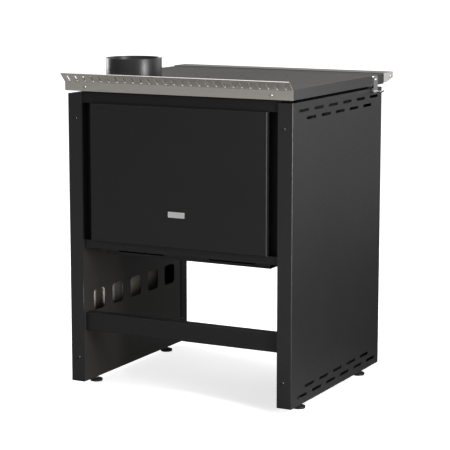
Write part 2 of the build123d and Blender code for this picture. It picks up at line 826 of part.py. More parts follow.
# ---------------------------------------------------------------- cooktop
# folded and welded frame: side skirts, front and side borders, and a deck for the flue
guard_screw_z = skirt_low + guard_screw_level
hook_y = top_front_y + hook_setback
hook_screw_z = top_z - hook_plate_corner - screw_head_radius
rebate_z = top_z - top_plate / 2
with BuildPart() as cooktop_frame:
    block(-top_x, top_x, top_front_y, top_rear_y, skirt_low, top_z)
    fillet(cooktop_frame.edges().filter_by(Axis.Z), bend_radius)
    block(-top_x + skirt_sheet, top_x - skirt_sheet, top_front_y + skirt_sheet,
          top_rear_y - skirt_sheet, skirt_low - skirt_sheet, top_under, Mode.SUBTRACT)
    block(-plate_x, plate_x, plate_front_y, plate_rear_y, rebate_z, top_z + top_plate, Mode.SUBTRACT)
    block(-plate_x + ledge_width, plate_x - ledge_width, plate_front_y + ledge_width,
          plate_rear_y - ledge_width, top_under - top_plate, top_z, Mode.SUBTRACT)
    rod_along_z(flue_x, flue_y, top_under - top_plate, top_z + top_plate,
                flue_radius + running_gap, Mode.SUBTRACT)
    for side in (-1, 1):
        rod_along_y(side * guard_screw_x, top_rear_y - 2 * skirt_sheet,
                    top_rear_y + skirt_sheet, guard_screw_z, screw_hole_radius, Mode.SUBTRACT)
        rod_along_x(side * top_x - 2 * skirt_sheet, side * top_x + 2 * skirt_sheet, hook_y,
                    hook_screw_z, screw_hole_radius, Mode.SUBTRACT)
save(cooktop_frame.part, "cooktop_frame")

# rope seal between the body's walls and the cooktop
with BuildPart() as top_seal:
    block(-wall_x - seal_width, wall_x + seal_width, frame_back_y - seal_width,
          back_inner_y + seal_width, carcass_top, top_under)
    block(-wall_x, wall_x, frame_back_y, back_inner_y, carcass_top - seal_height,
          top_under + seal_height, Mode.SUBTRACT)
save(top_seal.part, "top_seal")

# cast hot plate, stepped at its rim and round its opening
with BuildPart() as hot_plate:
    rim = expansion_gap
    block(-plate_x + rim, plate_x - rim, plate_front_y + rim, plate_rear_y - rim,
          rebate_z + running_gap, top_z)
    step = ledge_width + expansion_gap
    block(-plate_x + step, plate_x - step, plate_front_y + step, plate_rear_y - step,
          top_z - hot_plate_thickness, top_z)
    rod_along_z(ring_x, ring_y, plate_mid_z, top_z + top_plate, outer_ring_radius, Mode.SUBTRACT)
    rod_along_z(ring_x, ring_y, top_z - 2 * hot_plate_thickness, top_z,
                outer_ring_radius - ledge_width, Mode.SUBTRACT)
    chamfer(hot_plate.edges().group_by(Axis.Z)[-1], ring_edge_break)
save(hot_plate.part, "hot_plate")


def lift_ring(outer, inner, label):
    """A ring that rests on the step of the opening round it and has a step for the next one."""
    low = top_z - hot_plate_thickness
    seat = plate_mid_z + running_gap
    with BuildPart() as ring:
        with BuildSketch(Plane.XZ.offset(-ring_y)):
            with BuildLine():
                Polyline((ring_x + inner, top_z),
                         (ring_x + outer - expansion_gap, top_z),
                         (ring_x + outer - expansion_gap, seat),
                         (ring_x + outer - ledge_width - expansion_gap, seat),
                         (ring_x + outer - ledge_width - expansion_gap, low),
                         (ring_x + inner - ledge_width, low),
                         (ring_x + inner - ledge_width, plate_mid_z),
                         (ring_x + inner, plate_mid_z), close=True)
            make_face()
        revolve(axis=Axis((ring_x, ring_y, 0), (0, 0, 1)))
        chamfer(ring.edges().group_by(Axis.Z)[-1], ring_edge_break)
    save(ring.part, label)


lift_ring(outer_ring_radius, inner_ring_radius, "outer_ring")
lift_ring(inner_ring_radius, lid_radius, "inner_ring")

with BuildPart() as center_lid:
    rod_along_z(ring_x, ring_y, plate_mid_z + running_gap, top_z, lid_radius - expansion_gap)
    rod_along_z(ring_x, ring_y, top_z - hot_plate_thickness, top_z,
                lid_radius - ledge_width - expansion_gap)
    rod_along_z(ring_x, ring_y, top_z - lift_hole_depth, top_z + lift_hole_depth,
                lift_hole_radius, Mode.SUBTRACT)
    chamfer(center_lid.edges().group_by(Axis.Z)[-1], ring_edge_break)
save(center_lid.part, "center_lid")

# flue collar: a tube through the deck with a flange resting on it
with BuildPart() as flue_collar:
    collar_top = top_z + flue_height
    rod_along_z(flue_x, flue_y, top_under - flue_dip, collar_top, flue_radius)
    rod_along_z(flue_x, flue_y, top_z, top_z + flue_flange_thickness,
                flue_radius + flue_flange_width)
    rod_along_z(flue_x, flue_y, top_under - 2 * flue_dip, collar_top + flue_dip,
                flue_radius - flue_wall, Mode.SUBTRACT)
    fillet(flue_collar.edges().group_by(Axis.Z)[-1], flue_rim_round)
save(flue_collar.part, "flue_collar")

# rear guard: a stainless strip screwed to the rear skirt, leaning back above the cooktop
with BuildPart() as rear_guard:
    foot_y, bend_z = top_rear_y, skirt_low + guard_rise
    tip_y = foot_y + guard_lean * sin(guard_slope)
    tip_z = bend_z + guard_lean * cos(guard_slope)
    with BuildSketch(Plane.YZ):
        with BuildLine():
            Polyline((foot_y, skirt_low), (foot_y, bend_z), (tip_y, tip_z),
                     (tip_y + guard_sheet * cos(guard_slope), tip_z - guard_sheet * sin(guard_slope)),
                     (foot_y + guard_sheet, bend_z - guard_sheet * tan(guard_slope / 2)),
                     (foot_y + guard_sheet, skirt_low), close=True)
        make_face()
    extrude(amount=guard_x, both=True)
    leaning = Plane(origin=(0, foot_y, bend_z), x_dir=(1, 0, 0),
                    z_dir=(0, -cos(guard_slope), sin(guard_slope)))
    with BuildSketch(leaning):
        with Locations((0, guard_slot_center)):
            with GridLocations(guard_slot_pitch, guard_lean, guard_slot_count, 1):
                SlotOverall(guard_slot_length, guard_slot_width, rotation=90)
    extrude(amount=2 * guard_sheet, both=True, mode=Mode.SUBTRACT)
    for side in (-1, 1):
        rod_along_y(side * guard_screw_x, foot_y - guard_sheet, foot_y + 2 * guard_sheet,
                    guard_screw_z, screw_hole_radius, Mode.SUBTRACT)
save(rear_guard.part, "rear_guard")

# front rail: a hollow stainless profile along the cooktop's front edge, capped at both ends
rail_front_y = top_front_y - rail_depth
rail_low = skirt_low + skirt_sheet
rail_high = top_z + rail_rise
rail_screw_y = rail_front_y + rail_nose_height + rail_corner
rail_screw_z = (rail_low + rail_high) / 2 + rail_rise


def rail_profile(inset):
    """The rail's section, drawn in from its outside by the given inset."""
    with BuildSketch(Plane.YZ) as profile:
        with BuildLine():
            Polyline((top_front_y, rail_low), (top_front_y - rail_foot, rail_low),
                     (rail_front_y, rail_high - rail_nose_height), (rail_front_y, rail_high),
                     (top_front_y, rail_high), close=True)
        make_face()
        fillet(profile.vertices().group_by(Axis.Y)[0], rail_corner)
        if inset:
            offset(amount=-inset, mode=Mode.REPLACE)
    return profile.sketch


with BuildPart() as front_rail:
    extrude(rail_profile(0), amount=top_x - rail_cap_thickness, both=True)
    extrude(rail_profile(rail_sheet), amount=top_x, both=True, mode=Mode.SUBTRACT)
save(front_rail.part, "front_rail")

with BuildPart() as rail_end_caps:
    extrude(rail_profile(0), amount=top_x, both=True)
    block(-top_x + rail_cap_thickness, top_x - rail_cap_thickness, rail_front_y - rail_depth,
          top_front_y + rail_depth, rail_low - rail_depth, rail_high + rail_depth, Mode.SUBTRACT)
    rod_along_x(-2 * top_x, 2 * top_x, rail_screw_y, rail_screw_z, screw_hole_radius, Mode.SUBTRACT)
save(rail_end_caps.part, "rail_end_caps")

# tool hooks: a plate on the skirt with a bent rod at its foot, one on each side
with BuildPart() as tool_hooks:
    hook_low = top_z - hook_plate_height
    hook_z = hook_low + hook_rod_level
    hook_x = top_x + hook_reach
    with BuildSketch(Plane.YZ.offset(top_x)):
        with Locations((hook_y, top_z - hook_plate_height / 2)):
            RectangleRounded(hook_plate_width, hook_plate_height, hook_plate_corner)
    extrude(amount=hook_plate_thickness)
    with BuildLine() as hook_path:
        FilletPolyline((top_x + hook_plate_thickness / 2, hook_y, hook_z), (hook_x, hook_y, hook_z),
                       (hook_x, hook_y, hook_z + hook_tip), radius=hook_bend)
    with BuildSketch(Plane(origin=hook_path.line @ 0, z_dir=hook_path.line % 0)):
        Circle(hook_rod_radius)
    sweep(path=hook_path.line)
    tip = tool_hooks.faces().filter_by(GeomType.PLANE).filter_by(Axis.Z).sort_by(Axis.X)[-1]
    fillet(tip.edges(), hook_tip_round)
    rod_along_x(top_x - hook_plate_thickness, top_x + 2 * hook_plate_thickness, hook_y,
                hook_screw_z, screw_hole_radius, Mode.SUBTRACT)
    mirror(about=Plane.YZ)
save(tool_hooks.part, "tool_hooks")

# ---------------------------------------------------------------- screws
with BuildPart() as panel_screws:
    for side in (-1, 1):
        for level in panel_screw_levels:
            x = side * panel_screw_x
            rod_along_y(x, rear_y, rear_y + screw_head_height, level, screw_head_radius)
            rod_along_y(x, rear_y - screw_grip, rear_y, level, screw_shank_radius)
        head = sorted((side * liner_x, side * (liner_x - screw_head_height)))
        shank = sorted((side * liner_x, side * (liner_x + screw_grip)))
        rod_along_x(head[0], head[1], lip_screw_y, lip_screw_z, screw_head_radius)
        rod_along_x(shank[0], shank[1], lip_screw_y, lip_screw_z, screw_shank_radius)
save(panel_screws.part, "panel_screws")

with BuildPart() as trim_screws:
    guard_face = top_rear_y + guard_sheet
    for side in (-1, 1):
        x = side * guard_screw_x
        rod_along_y(x, guard_face, guard_face + screw_head_height, guard_screw_z, screw_head_radius)
        rod_along_y(x, guard_face - screw_grip, guard_face, guard_screw_z, screw_shank_radius)
        for face_x, y, z in ((top_x, rail_screw_y, rail_screw_z),
                             (top_x + hook_plate_thickness, hook_y, hook_screw_z)):
            head = sorted((side * face_x, side * (face_x + screw_head_height)))
            shank = sorted((side * face_x, side * (face_x - trim_screw_grip)))
            rod_along_x(head[0], head[1], y, z, screw_head_radius)
            rod_along_x(shank[0], shank[1], y, z, screw_shank_radius)
save(trim_screws.part, "trim_screws")

# ---------------------------------------------------------------- firebox door
hinge_x = fire_door_left - hinge_axis_offset
hinge_y = door_back_y - hinge_axis_lead
knuckle_lows = [fire_window_z + side * hinge_spread / 2 - hinge_knuckle_height / 2
                for side in (-1, 1)]
latch_x = fire_door_right - latch_inset
latch_z = fire_window_z
glass_face_y = door_back_y - glass_thickness

with BuildPart() as firebox_door_frame:
    block(fire_door_left, fire_door_right, door_front_y, door_back_y, fire_door_low, door_top)
    fillet(firebox_door_frame.edges().filter_by(Axis.Y), door_corner)
    chamfer(firebox_door_frame.faces().sort_by(Axis.Y)[0].edges(), door_edge)
    with BuildSketch(Plane.XZ.offset(-door_back_y)):
        with Locations((fire_x, fire_window_z)):
            RectangleRounded(fire_window_width, fire_window_height, door_corner)
    extrude(amount=2 * door_thickness, both=True, mode=Mode.SUBTRACT)
    pane_x = fire_window_width / 2 + glass_lap + glass_gap
    pane_z = fire_window_height / 2 + glass_lap + glass_gap
    block(fire_x - pane_x, fire_x + pane_x, glass_face_y, door_back_y + door_thickness,
          fire_window_z - pane_z, fire_window_z + pane_z, Mode.SUBTRACT)
    for low in knuckle_lows:
        high = low + hinge_knuckle_height
        block(hinge_x, fire_door_left + door_edge, hinge_y - hinge_leaf_thickness / 2,
              hinge_y + hinge_leaf_thickness / 2, low, high)
        rod_along_z(hinge_x, hinge_y, low, high, hinge_knuckle_radius)
        rod_along_z(hinge_x, hinge_y, low - cut_margin, high + cut_margin,
                    hinge_pin_radius + shaft_play, Mode.SUBTRACT)
    rod_along_y(latch_x, door_front_y - cut_margin, door_back_y + cut_margin, latch_z,
                latch_spindle_radius + shaft_play, Mode.SUBTRACT)
save(firebox_door_frame.part, "firebox_door_frame")

with BuildPart() as firebox_door_glass:
    pane_x = fire_window_width / 2 + glass_lap
    pane_z = fire_window_height / 2 + glass_lap
    block(fire_x - pane_x, fire_x + pane_x, glass_face_y, door_back_y,
          fire_window_z - pane_z, fire_window_z + pane_z)
save(firebox_door_glass.part, "firebox_door_glass")

with BuildPart() as glass_clips:
    for side in (-1, 1):
        clip_x = fire_x + side * pane_x
        for z in (-fire_window_height / 4, fire_window_height / 4):
            block(clip_x - clip_width / 2, clip_x + clip_width / 2, door_back_y,
                  door_back_y + clip_thickness, fire_window_z + z - clip_length / 2,
                  fire_window_z + z + clip_length / 2)
save(glass_clips.part, "glass_clips")

# rope seal on the back of the door, round the fire opening
with BuildPart() as firebox_door_seal:
    outer = rope_outset
    inner = rope_outset - rope_width
    block(fire_left - outer, fire_right + outer, door_back_y, frame_front_y - running_gap,
          fire_opening_low - outer, fire_opening_high + outer)
    fillet(firebox_door_seal.edges().filter_by(Axis.Y), door_corner)
    block(fire_left - inner, fire_right + inner, door_back_y - cut_margin, frame_front_y,
          fire_opening_low - inner, fire_opening_high + inner, Mode.SUBTRACT)
save(firebox_door_seal.part, "firebox_door_seal")

# brackets with upright pins, one under each knuckle
with BuildPart() as firebox_hinge_brackets:
    for knuckle in knuckle_lows:
        high = knuckle - running_gap
        low = high - hinge_bracket_height
        block(-wall_x, hinge_x + hinge_knuckle_radius, hinge_y, frame_front_y, low, high)
        rod_along_z(hinge_x, hinge_y, low, high, hinge_boss_radius)
        rod_along_z(hinge_x, hinge_y, high, knuckle + hinge_knuckle_height, hinge_pin_radius)
save(firebox_hinge_brackets.part, "firebox_hinge_brackets")

# latch: a spindle through the door with a tongue behind it and a lever in front
with BuildPart() as latch_lever:
    tongue_y = door_back_y + latch_gap
    arm_y = door_front_y - latch_lead
    rod_along_y(latch_x, arm_y, tongue_y + latch_tongue_thickness, latch_z, latch_spindle_radius)
    block(latch_x - latch_tongue_width / 2, latch_x + latch_tongue_width / 2, tongue_y,
          tongue_y + latch_tongue_thickness, latch_z - latch_spindle_radius,
          latch_z + latch_tongue_reach)
    rod_along_y(latch_x, arm_y - latch_arm_thickness, arm_y, latch_z, latch_boss_radius)
    arm_end = latch_z - latch_arm_length + grip_length
    block(latch_x - latch_arm_width / 2, latch_x + latch_arm_width / 2, arm_y - latch_arm_thickness,
          arm_y, arm_end, latch_z)
    grip_y = arm_y - latch_arm_thickness / 2
    rod_along_z(latch_x, grip_y, arm_end - grip_length, arm_end, latch_arm_thickness / 2)
save(latch_lever.part, "latch_lever")

with BuildPart() as latch_grip:
    rod_along_z(latch_x, grip_y, arm_end - grip_length, arm_end, grip_radius)
    fillet(latch_grip.edges().filter_by(GeomType.CIRCLE), grip_round)
    rod_along_z(latch_x, grip_y, arm_end - 2 * grip_length, arm_end + cut_margin,
                latch_arm_thickness / 2 + shaft_play, Mode.SUBTRACT)
save(latch_grip.part, "latch_grip")

# keeper on the body's front plate, with a lip in front of the turned tongue
with BuildPart() as latch_keeper:
    web_x = latch_x + latch_tongue_reach + keeper_gap
    lip_y = tongue_y - running_gap
    block(web_x, web_x + keeper_sheet, lip_y - keeper_sheet, frame_front_y,
          latch_z, latch_z + keeper_height)
    block(web_x - keeper_lip, web_x, lip_y - keeper_sheet, lip_y, latch_z, latch_z + keeper_height)
save(latch_keeper.part, "latch_keeper")

# ---------------------------------------------------------------- ash drawer
drawer_back_of_front = frame_front_y - 2 * running_gap
drawer_low = ash_floor + running_gap
drawer_front_x = (fire_door_left + fire_door_right) / 2
drawer_front_z = (front_low + ash_front_top) / 2
with BuildPart() as ash_drawer_box:
    half = drawer_width / 2
    block(fire_x - half, fire_x + half, drawer_back_of_front, drawer_back_of_front + drawer_depth,
          drawer_low, drawer_low + drawer_height)
    block(fire_x - half + drawer_sheet, fire_x + half - drawer_sheet,
          drawer_back_of_front + drawer_sheet, drawer_back_of_front + drawer_depth - drawer_sheet,
          drawer_low + drawer_sheet, drawer_low + 2 * drawer_height, Mode.SUBTRACT)
save(ash_drawer_box.part, "ash_drawer_box")

with BuildPart() as ash_drawer_front:
    block(fire_door_left, fire_door_right, drawer_back_of_front - drawer_front_thickness,
          drawer_back_of_front, front_low, ash_front_top)
    fillet(ash_drawer_front.edges().filter_by(Axis.Y), door_corner)
    chamfer(ash_drawer_front.faces().sort_by(Axis.Y)[0].edges(), door_edge)
save(ash_drawer_front.part, "ash_drawer_front")

with BuildPart() as ash_drawer_knob:
    neck_y = drawer_back_of_front - drawer_front_thickness
    knob_y = neck_y - drawer_neck_length
    rod_along_y(drawer_front_x, knob_y, neck_y, drawer_front_z, drawer_neck_radius)
    rod_along_y(drawer_front_x, knob_y - drawer_knob_length, knob_y, drawer_front_z,
                drawer_knob_radius)
    fillet(ash_drawer_knob.edges().group_by(Axis.Y)[0], drawer_knob_round)
save(ash_drawer_knob.part, "ash_drawer_knob")

# ---------------------------------------------------------------- airwash slider
with BuildPart() as air_slider:
    slide_y = frame_back_y + running_gap
    slider_knob_y = frame_front_y - slider_shank_radius
    block(fire_x - slider_width / 2, fire_x + slider_width / 2, slide_y, slide_y + slider_sheet,
          slider_z - slider_height / 2, slider_z + slider_height / 2)
    rod_along_y(fire_x, slider_knob_y, slide_y, slider_z, slider_shank_radius)
    rod_along_y(fire_x, slider_knob_y - slider_knob_length, slider_knob_y, slider_z,
                slider_knob_radius)
    fillet(air_slider.edges().group_by(Axis.Y)[0], slider_knob_round)
save(air_slider.part, "air_slider")

# ---------------------------------------------------------------- oven door
oven_hinge_y = door_back_y - door_thickness / 2
oven_hinge_z = oven_door_low + oven_axis_level
notch_top = oven_hinge_z + oven_ear_radius + oven_notch_gap
oven_window_z = oven_door_low + oven_window_low + oven_window_height / 2

with BuildPart() as oven_door_frame:
    block(oven_door_left, oven_door_right, door_front_y, door_back_y, oven_door_low, door_top)
    fillet(oven_door_frame.edges().filter_by(Axis.Y), door_corner)
    chamfer(oven_door_frame.faces().sort_by(Axis.Y)[0].edges(), door_edge)
    with BuildSketch(Plane.XZ.offset(-door_back_y)):
        with Locations((oven_door_x, oven_window_z)):
            RectangleRounded(oven_window_width, oven_window_height, door_corner)
    extrude(amount=2 * door_thickness, both=True, mode=Mode.SUBTRACT)
    pane_x = oven_window_width / 2 + glass_lap + glass_gap
    pane_z = oven_window_height / 2 + glass_lap + glass_gap
    block(oven_door_x - pane_x, oven_door_x + pane_x, glass_face_y, door_back_y + door_thickness,
          oven_window_z - pane_z, oven_window_z + pane_z, Mode.SUBTRACT)
    for edge, side in ((oven_door_left, 1), (oven_door_right, -1)):
        notch = sorted((edge - side * door_edge, edge + side * oven_notch))
        hole = sorted((edge, edge + side * (oven_notch + oven_pin_engage + cut_margin)))
        block(notch[0], notch[1], door_front_y - cut_margin, door_back_y + cut_margin,
              oven_door_low - cut_margin, notch_top,
              Mode.SUBTRACT)
        rod_along_x(hole[0], hole[1], oven_hinge_y, oven_hinge_z, hinge_pin_radius + shaft_play,
                    Mode.SUBTRACT)
save(oven_door_frame.part, "oven_door_frame")

with BuildPart() as oven_door_glass:
    pane_x = oven_window_width / 2 + glass_lap
    pane_z = oven_window_height / 2 + glass_lap
    block(oven_door_x - pane_x, oven_door_x + pane_x, glass_face_y, door_back_y,
          oven_window_z - pane_z, oven_window_z + pane_z)
save(oven_door_glass.part, "oven_door_glass")

# brackets with level pins in the door's lower corners
with BuildPart() as oven_hinge_brackets:
    for edge, side in ((oven_door_left, 1), (oven_door_right, -1)):
        ear = sorted((edge + side * oven_bracket_gap,
                      edge + side * (oven_bracket_gap + oven_bracket_width)))
        pin = sorted((edge + side * oven_bracket_gap, edge + side * (oven_notch + oven_pin_engage)))
        block(ear[0], ear[1], oven_hinge_y, frame_front_y,
              oven_hinge_z - oven_ear_radius, oven_hinge_z + oven_ear_radius)
        rod_along_x(ear[0], ear[1], oven_hinge_y, oven_hinge_z, oven_ear_radius)
        rod_along_x(pin[0], pin[1], oven_hinge_y, oven_hinge_z, hinge_pin_radius)
save(oven_hinge_brackets.part, "oven_hinge_brackets")

handle_y = door_front_y - oven_handle_lead
handle_z = door_top - oven_handle_drop
with BuildPart() as oven_handle_bar:
    rod_along_x(oven_door_x - oven_handle_length / 2, oven_door_x + oven_handle_length / 2,
                handle_y, handle_z, oven_handle_radius)
    chamfer(oven_handle_bar.edges().filter_by(GeomType.CIRCLE), oven_handle_chamfer)
save(oven_handle_bar.part, "oven_handle_bar")

with BuildPart() as oven_handle_posts:
    for side in (-1, 1):
        rod_along_y(oven_door_x + side * oven_post_spacing / 2, handle_y, door_front_y, handle_z,
                    oven_post_radius)
    rod_along_x(oven_door_left, oven_door_right, handle_y, handle_z, oven_handle_radius,
                Mode.SUBTRACT)
save(oven_handle_posts.part, "oven_handle_posts")

with BuildPart() as oven_thermometer:
    dial_z = door_top - dial_drop
    rod_along_y(oven_door_x, door_front_y - dial_depth, door_front_y, dial_z, dial_radius)
    rod_along_y(oven_door_x, door_front_y - dial_depth - cut_margin, door_front_y - dial_depth + dial_recess,
                dial_z, dial_face_radius, Mode.SUBTRACT)
    fillet(oven_thermometer.edges().group_by(Axis.Y)[0], dial_round)
save(oven_thermometer.part, "oven_thermometer")

# soot cover under the oven, held by two knurled screws
soot_back_y = frame_front_y - running_gap
soot_face_y = soot_back_y - soot_cover_thickness
with BuildPart() as soot_cover:
    block(oven_door_left, oven_door_right, soot_face_y, soot_back_y, front_low, soot_top)
    fillet(soot_cover.edges().filter_by(Axis.Y), door_corner)
    for x in soot_screw_places:
        rod_along_y(x, soot_face_y - cut_margin, soot_back_y + cut_margin, soot_z,
                    soot_shank_radius + shaft_play, Mode.SUBTRACT)
save(soot_cover.part, "soot_cover")

with BuildPart() as soot_cover_screws:
    for x in soot_screw_places:
        rod_along_y(x, soot_face_y - soot_knob_length, soot_face_y, soot_z, soot_knob_radius)
        rod_along_y(x, soot_face_y, frame_back_y + soot_shank_reach, soot_z, soot_shank_radius)
    chamfer(soot_cover_screws.edges().group_by(Axis.Y)[0], soot_knob_chamfer)
save(soot_cover_screws.part, "soot_cover_screws")
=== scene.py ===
from functools import partial
from math import cos, radians, sin, tau

import bmesh
import bpy
from mathutils import Matrix, Vector, noise


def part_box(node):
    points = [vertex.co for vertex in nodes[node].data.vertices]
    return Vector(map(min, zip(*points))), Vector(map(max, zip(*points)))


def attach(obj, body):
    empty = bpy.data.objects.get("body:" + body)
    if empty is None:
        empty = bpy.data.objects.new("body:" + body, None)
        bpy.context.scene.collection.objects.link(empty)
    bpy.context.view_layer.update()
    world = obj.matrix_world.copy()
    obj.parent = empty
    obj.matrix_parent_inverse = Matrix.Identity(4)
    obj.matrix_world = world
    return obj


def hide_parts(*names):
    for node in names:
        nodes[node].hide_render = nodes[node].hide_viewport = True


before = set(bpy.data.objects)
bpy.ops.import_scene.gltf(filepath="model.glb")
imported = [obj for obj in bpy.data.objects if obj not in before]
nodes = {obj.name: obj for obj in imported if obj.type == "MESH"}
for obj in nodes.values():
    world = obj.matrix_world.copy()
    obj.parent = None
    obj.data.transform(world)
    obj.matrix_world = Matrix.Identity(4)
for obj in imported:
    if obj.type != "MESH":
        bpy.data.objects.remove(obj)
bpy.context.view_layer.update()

# ---------------------------------------------------------------- side columns
# The two hollow columns: folded sheet steel panels with rows of slots outside, sheets with
# five windows inside. Both are sprayed with a fine textured charcoal powder and baked.
mm = 0.001
# the middle and reach of a patch of painted light on the inside faces of the panels
lit_patch_middle = (0, 0.08, 0.265)
lit_patch_reach = (1000, 0.3, 0.08)
looks_inward = -0.1


def linear(code):
    """The linear colour of an sRGB hex code."""
    parts = [int(code[start:start + 2], 16) / 255 for start in (1, 3, 5)]
    return (*[c / 12.92 if c <= 0.04045 else ((c + 0.055) / 1.055) ** 2.4 for c in parts], 1)


def node(owner, kind, sockets=None, give=0, **settings):
    """Adds a node to a material, a world or a tree, sets it, fills or links its inputs, and
    returns one of its outputs. Its kind goes without its family's name, and a text that begins
    with # is a colour. Every add below is this function with its first input filled in."""
    tree = getattr(owner, "node_tree", owner)
    families = ("ShaderNode", "GeometryNode", "FunctionNode", "Node")
    made = tree.nodes.new(next(f + kind for f in families if hasattr(bpy.types, f + kind)))
    for name, value in settings.items():
        setattr(made, name, value)
    for key, value in (sockets or {}).items():
        for given in value if isinstance(value, list) else [value]:
            if isinstance(given, bpy.types.NodeSocket):
                tree.links.new(given, made.inputs[key])
            elif isinstance(given, str) and given.startswith("#"):
                made.inputs[key].default_value = linear(given)
            else:
                made.inputs[key].default_value = given
    return made.outputs[give] if made.outputs else None


def grained(name, *grains):
    """Starts a finish: what adds its nodes, the piece's own coordinates and a noise for each
    grain. A grain is a size in mm, a detail and, if it is drawn out, its shrink on each axis."""
    material = bpy.data.materials.new(name)
    material.use_nodes = True
    material.node_tree.nodes.clear()
    add = partial(node, material)
    place = add("TexCoord", give="Object")
    patterns = []
    for size, detail, *stroke in grains:
        spot = add("Mapping", {"Vector": place, "Scale": stroke[0]}) if stroke else place
        patterns.append(add("TexNoise", {"Vector": spot, "Scale": 1 / (size * mm), "Detail": detail}))
    return add, place, *patterns


def finished(add, layers, rough, bumps=(), metallic=0, ior=1.5, specular=0.5, sheen=0, clear=0):
    """Ends a finish. Its layers are a ground colour and what lies over it, each by its share;
    its roughness is a number or a pattern's range, from and to; its bumps have depths in mm."""
    colour = layers[0]
    for share, over, *way in layers[1:]:
        colour = add("Mix", {"Factor": share, 6: colour, 7: over},
                     give=2, data_type="RGBA", blend_type=(*way, "MIX")[0])
    if isinstance(rough, tuple):
        rough = add("MapRange", dict(enumerate(rough)))
    under = {}
    for height, depth, *strength in bumps:
        raised = {"Height": height, "Distance": depth * mm, "Strength": (*strength, 1.0)[0], **under}
        under = {"Normal": add("Bump", raised)}
    shader = add("BsdfPrincipled",
                 {"Base Color": colour, "Roughness": rough, "Metallic": metallic, "IOR": ior,
                  "Specular IOR Level": specular, "Sheen Weight": sheen,
                  "Transmission Weight": clear, **under})
    add("OutputMaterial", {"Surface": shader})
    return add.args[0]


def powder_coat(name, dark, light, roughness, specular, painted_lit_inside=False):
    """Polyester powder, sprayed and baked: fine pimples over a slow orange peel, no brush marks.
    With painted_lit_inside, the faces that look inward get pale bare zinc-coated sheet in a soft
    patch round one middle point: painted light, standing in for light that falls in through the windows."""
    add, place, clouds, peel, pimples = grained(name, (160, 3), (7, 1), (1.1, 2))
    layers = [dark, (clouds, light)]
    if painted_lit_inside:
        # a face looks inward where its normal points against its own place across the stove
        facing = add("TexCoord", give="Normal")
        outward = add("VectorMath", {0: facing, 1: place}, operation="MULTIPLY")
        across = add("SeparateXYZ", {"Vector": outward}, "X")
        inside = add("Math", {0: across, 1: looks_inward}, operation="LESS_THAN")
        off = add("Mapping", {"Vector": place, "Location": lit_patch_middle, "Scale": lit_patch_reach},
                  vector_type="TEXTURE")
        off_middle = add("VectorMath", {0: off}, give="Value", operation="LENGTH")
        lit_patch_falloff = add("MapRange", {0: off_middle, 1: 1.0, 2: 0.35}, interpolation_type="SMOOTHSTEP")
        # the pale patch is painted light: it stands in for light that falls in through the windows
        lit_bare_patch = add("Math", {0: inside, 1: lit_patch_falloff}, operation="MULTIPLY")
        zinc_coat = add("Mix", {"Factor": clouds, 6: "#c9bfb2", 7: "#e2dacf"}, give=2, data_type="RGBA")
        layers.append((lit_bare_patch, zinc_coat))
    return finished(add, layers, (peel, 0.3, 0.7, roughness - 0.04, roughness + 0.04),
                    [(peel, 0.05), (pimples, 0.035)], specular=specular)


def dress(material, *names):
    """Gives CAD nodes a material."""
    for name in names:
        nodes[name].data.materials.clear()
        nodes[name].data.materials.append(material)


# the panels' inside faces get a patch of painted light, shown as pale bare sheet
dress(powder_coat("charcoal_powder_outside", "#161617", "#1b1b1c", 0.37, 0.4, painted_lit_inside=True),
      "left_side_panel", "right_side_panel")
# the liners carry the panels' charcoal powder painted lighter and warmer: painted light for the light inside
# the bay
dress(powder_coat("lightened_charcoal_powder", "#22201e", "#2a2725", 0.42, 0.5),
      "left_side_liner", "right_side_liner")

# ---------------------------------------------------------------- column screws
# Button-head screws with a six-lobe recess, black oxide on steel: two in each rear flange
# and one in each front return. The oxide is a thin dark skin with steel shining at its edges.
head_sides = 24
head_height = 2.6 * mm
button_steps = ((0.3, 0.97), (0.58, 0.87), (0.8, 0.74), (0.94, 0.62), (1.0, 0.5), (1.0, 0.4))
recess_floor = (0.35, 0.36)
lobe_count = 6
lobe_depth = 0.14
same_corner = 0.005 * mm
same_point = 0.001 * mm
grown_edge = radians(40)


def painted(mesh, material):
    """The mesh with its material."""
    mesh.materials.clear()
    mesh.materials.append(material)
    for face in mesh.polygons:
        face.material_index = 0
    return mesh


def placed(name, data):
    """A new object in the scene."""
    thing = bpy.data.objects.new(name, data)
    bpy.context.scene.collection.objects.link(thing)
    return thing


def plain_mesh(thing):
    """The mesh that an object comes to, without the object."""
    mesh = bpy.data.meshes.new_from_object(thing.evaluated_get(bpy.context.evaluated_depsgraph_get()))
    bpy.data.objects.remove(thing)
    return mesh


def grown(draw, sizes, start=None, *more):
    """The plain mesh of a geometry tree: draw fills the tree, sizes are its inputs by name, and
    start is the mesh that it begins with. Its faces are smooth and real and have the finish."""
    kinds = {float: "NodeSocketFloat", int: "NodeSocketInt", bpy.types.Material: "NodeSocketMaterial"}
    tree = bpy.data.node_groups.new(draw.__name__, "GeometryNodeTree")
    socket = tree.interface.new_socket
    socket("Geometry", in_out="INPUT", socket_type="NodeSocketGeometry")
    keys = {label: socket(label, in_out="INPUT", socket_type=kinds[type(value)]).identifier
            for label, value in sizes.items()}
    socket("Geometry", in_out="OUTPUT", socket_type="NodeSocketGeometry")
    add = partial(node, tree)
    given = add("GroupInput").node.outputs
    smooth = add("SetShadeSmooth", {"Geometry": draw(add, given, *more)})
    real = add("RealizeInstances", {"Geometry": smooth})
    coated = add("SetMaterial", {"Geometry": real, "Material": given["Finish"]})
    add("GroupOutput", {"Geometry": coated})
    seed = placed(draw.__name__, start or bpy.data.meshes.new(draw.__name__))
    modifier = seed.modifiers.new(draw.__name__, "NODES")
    modifier.node_group = tree
    for label, value in sizes.items():
        modifier[keys[label]] = value
    mesh = plain_mesh(seed)
    mesh.set_sharp_from_angle(angle=grown_edge)
    return painted(mesh, sizes["Finish"])


def fit(name, mesh, body, slot, *stands_for):
    """Puts a finished mesh in the scene as a piece that rides on a body."""
    mesh.name = name
    piece = placed(name, mesh)
    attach(piece, body)
    if stands_for:
        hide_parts(*stands_for)


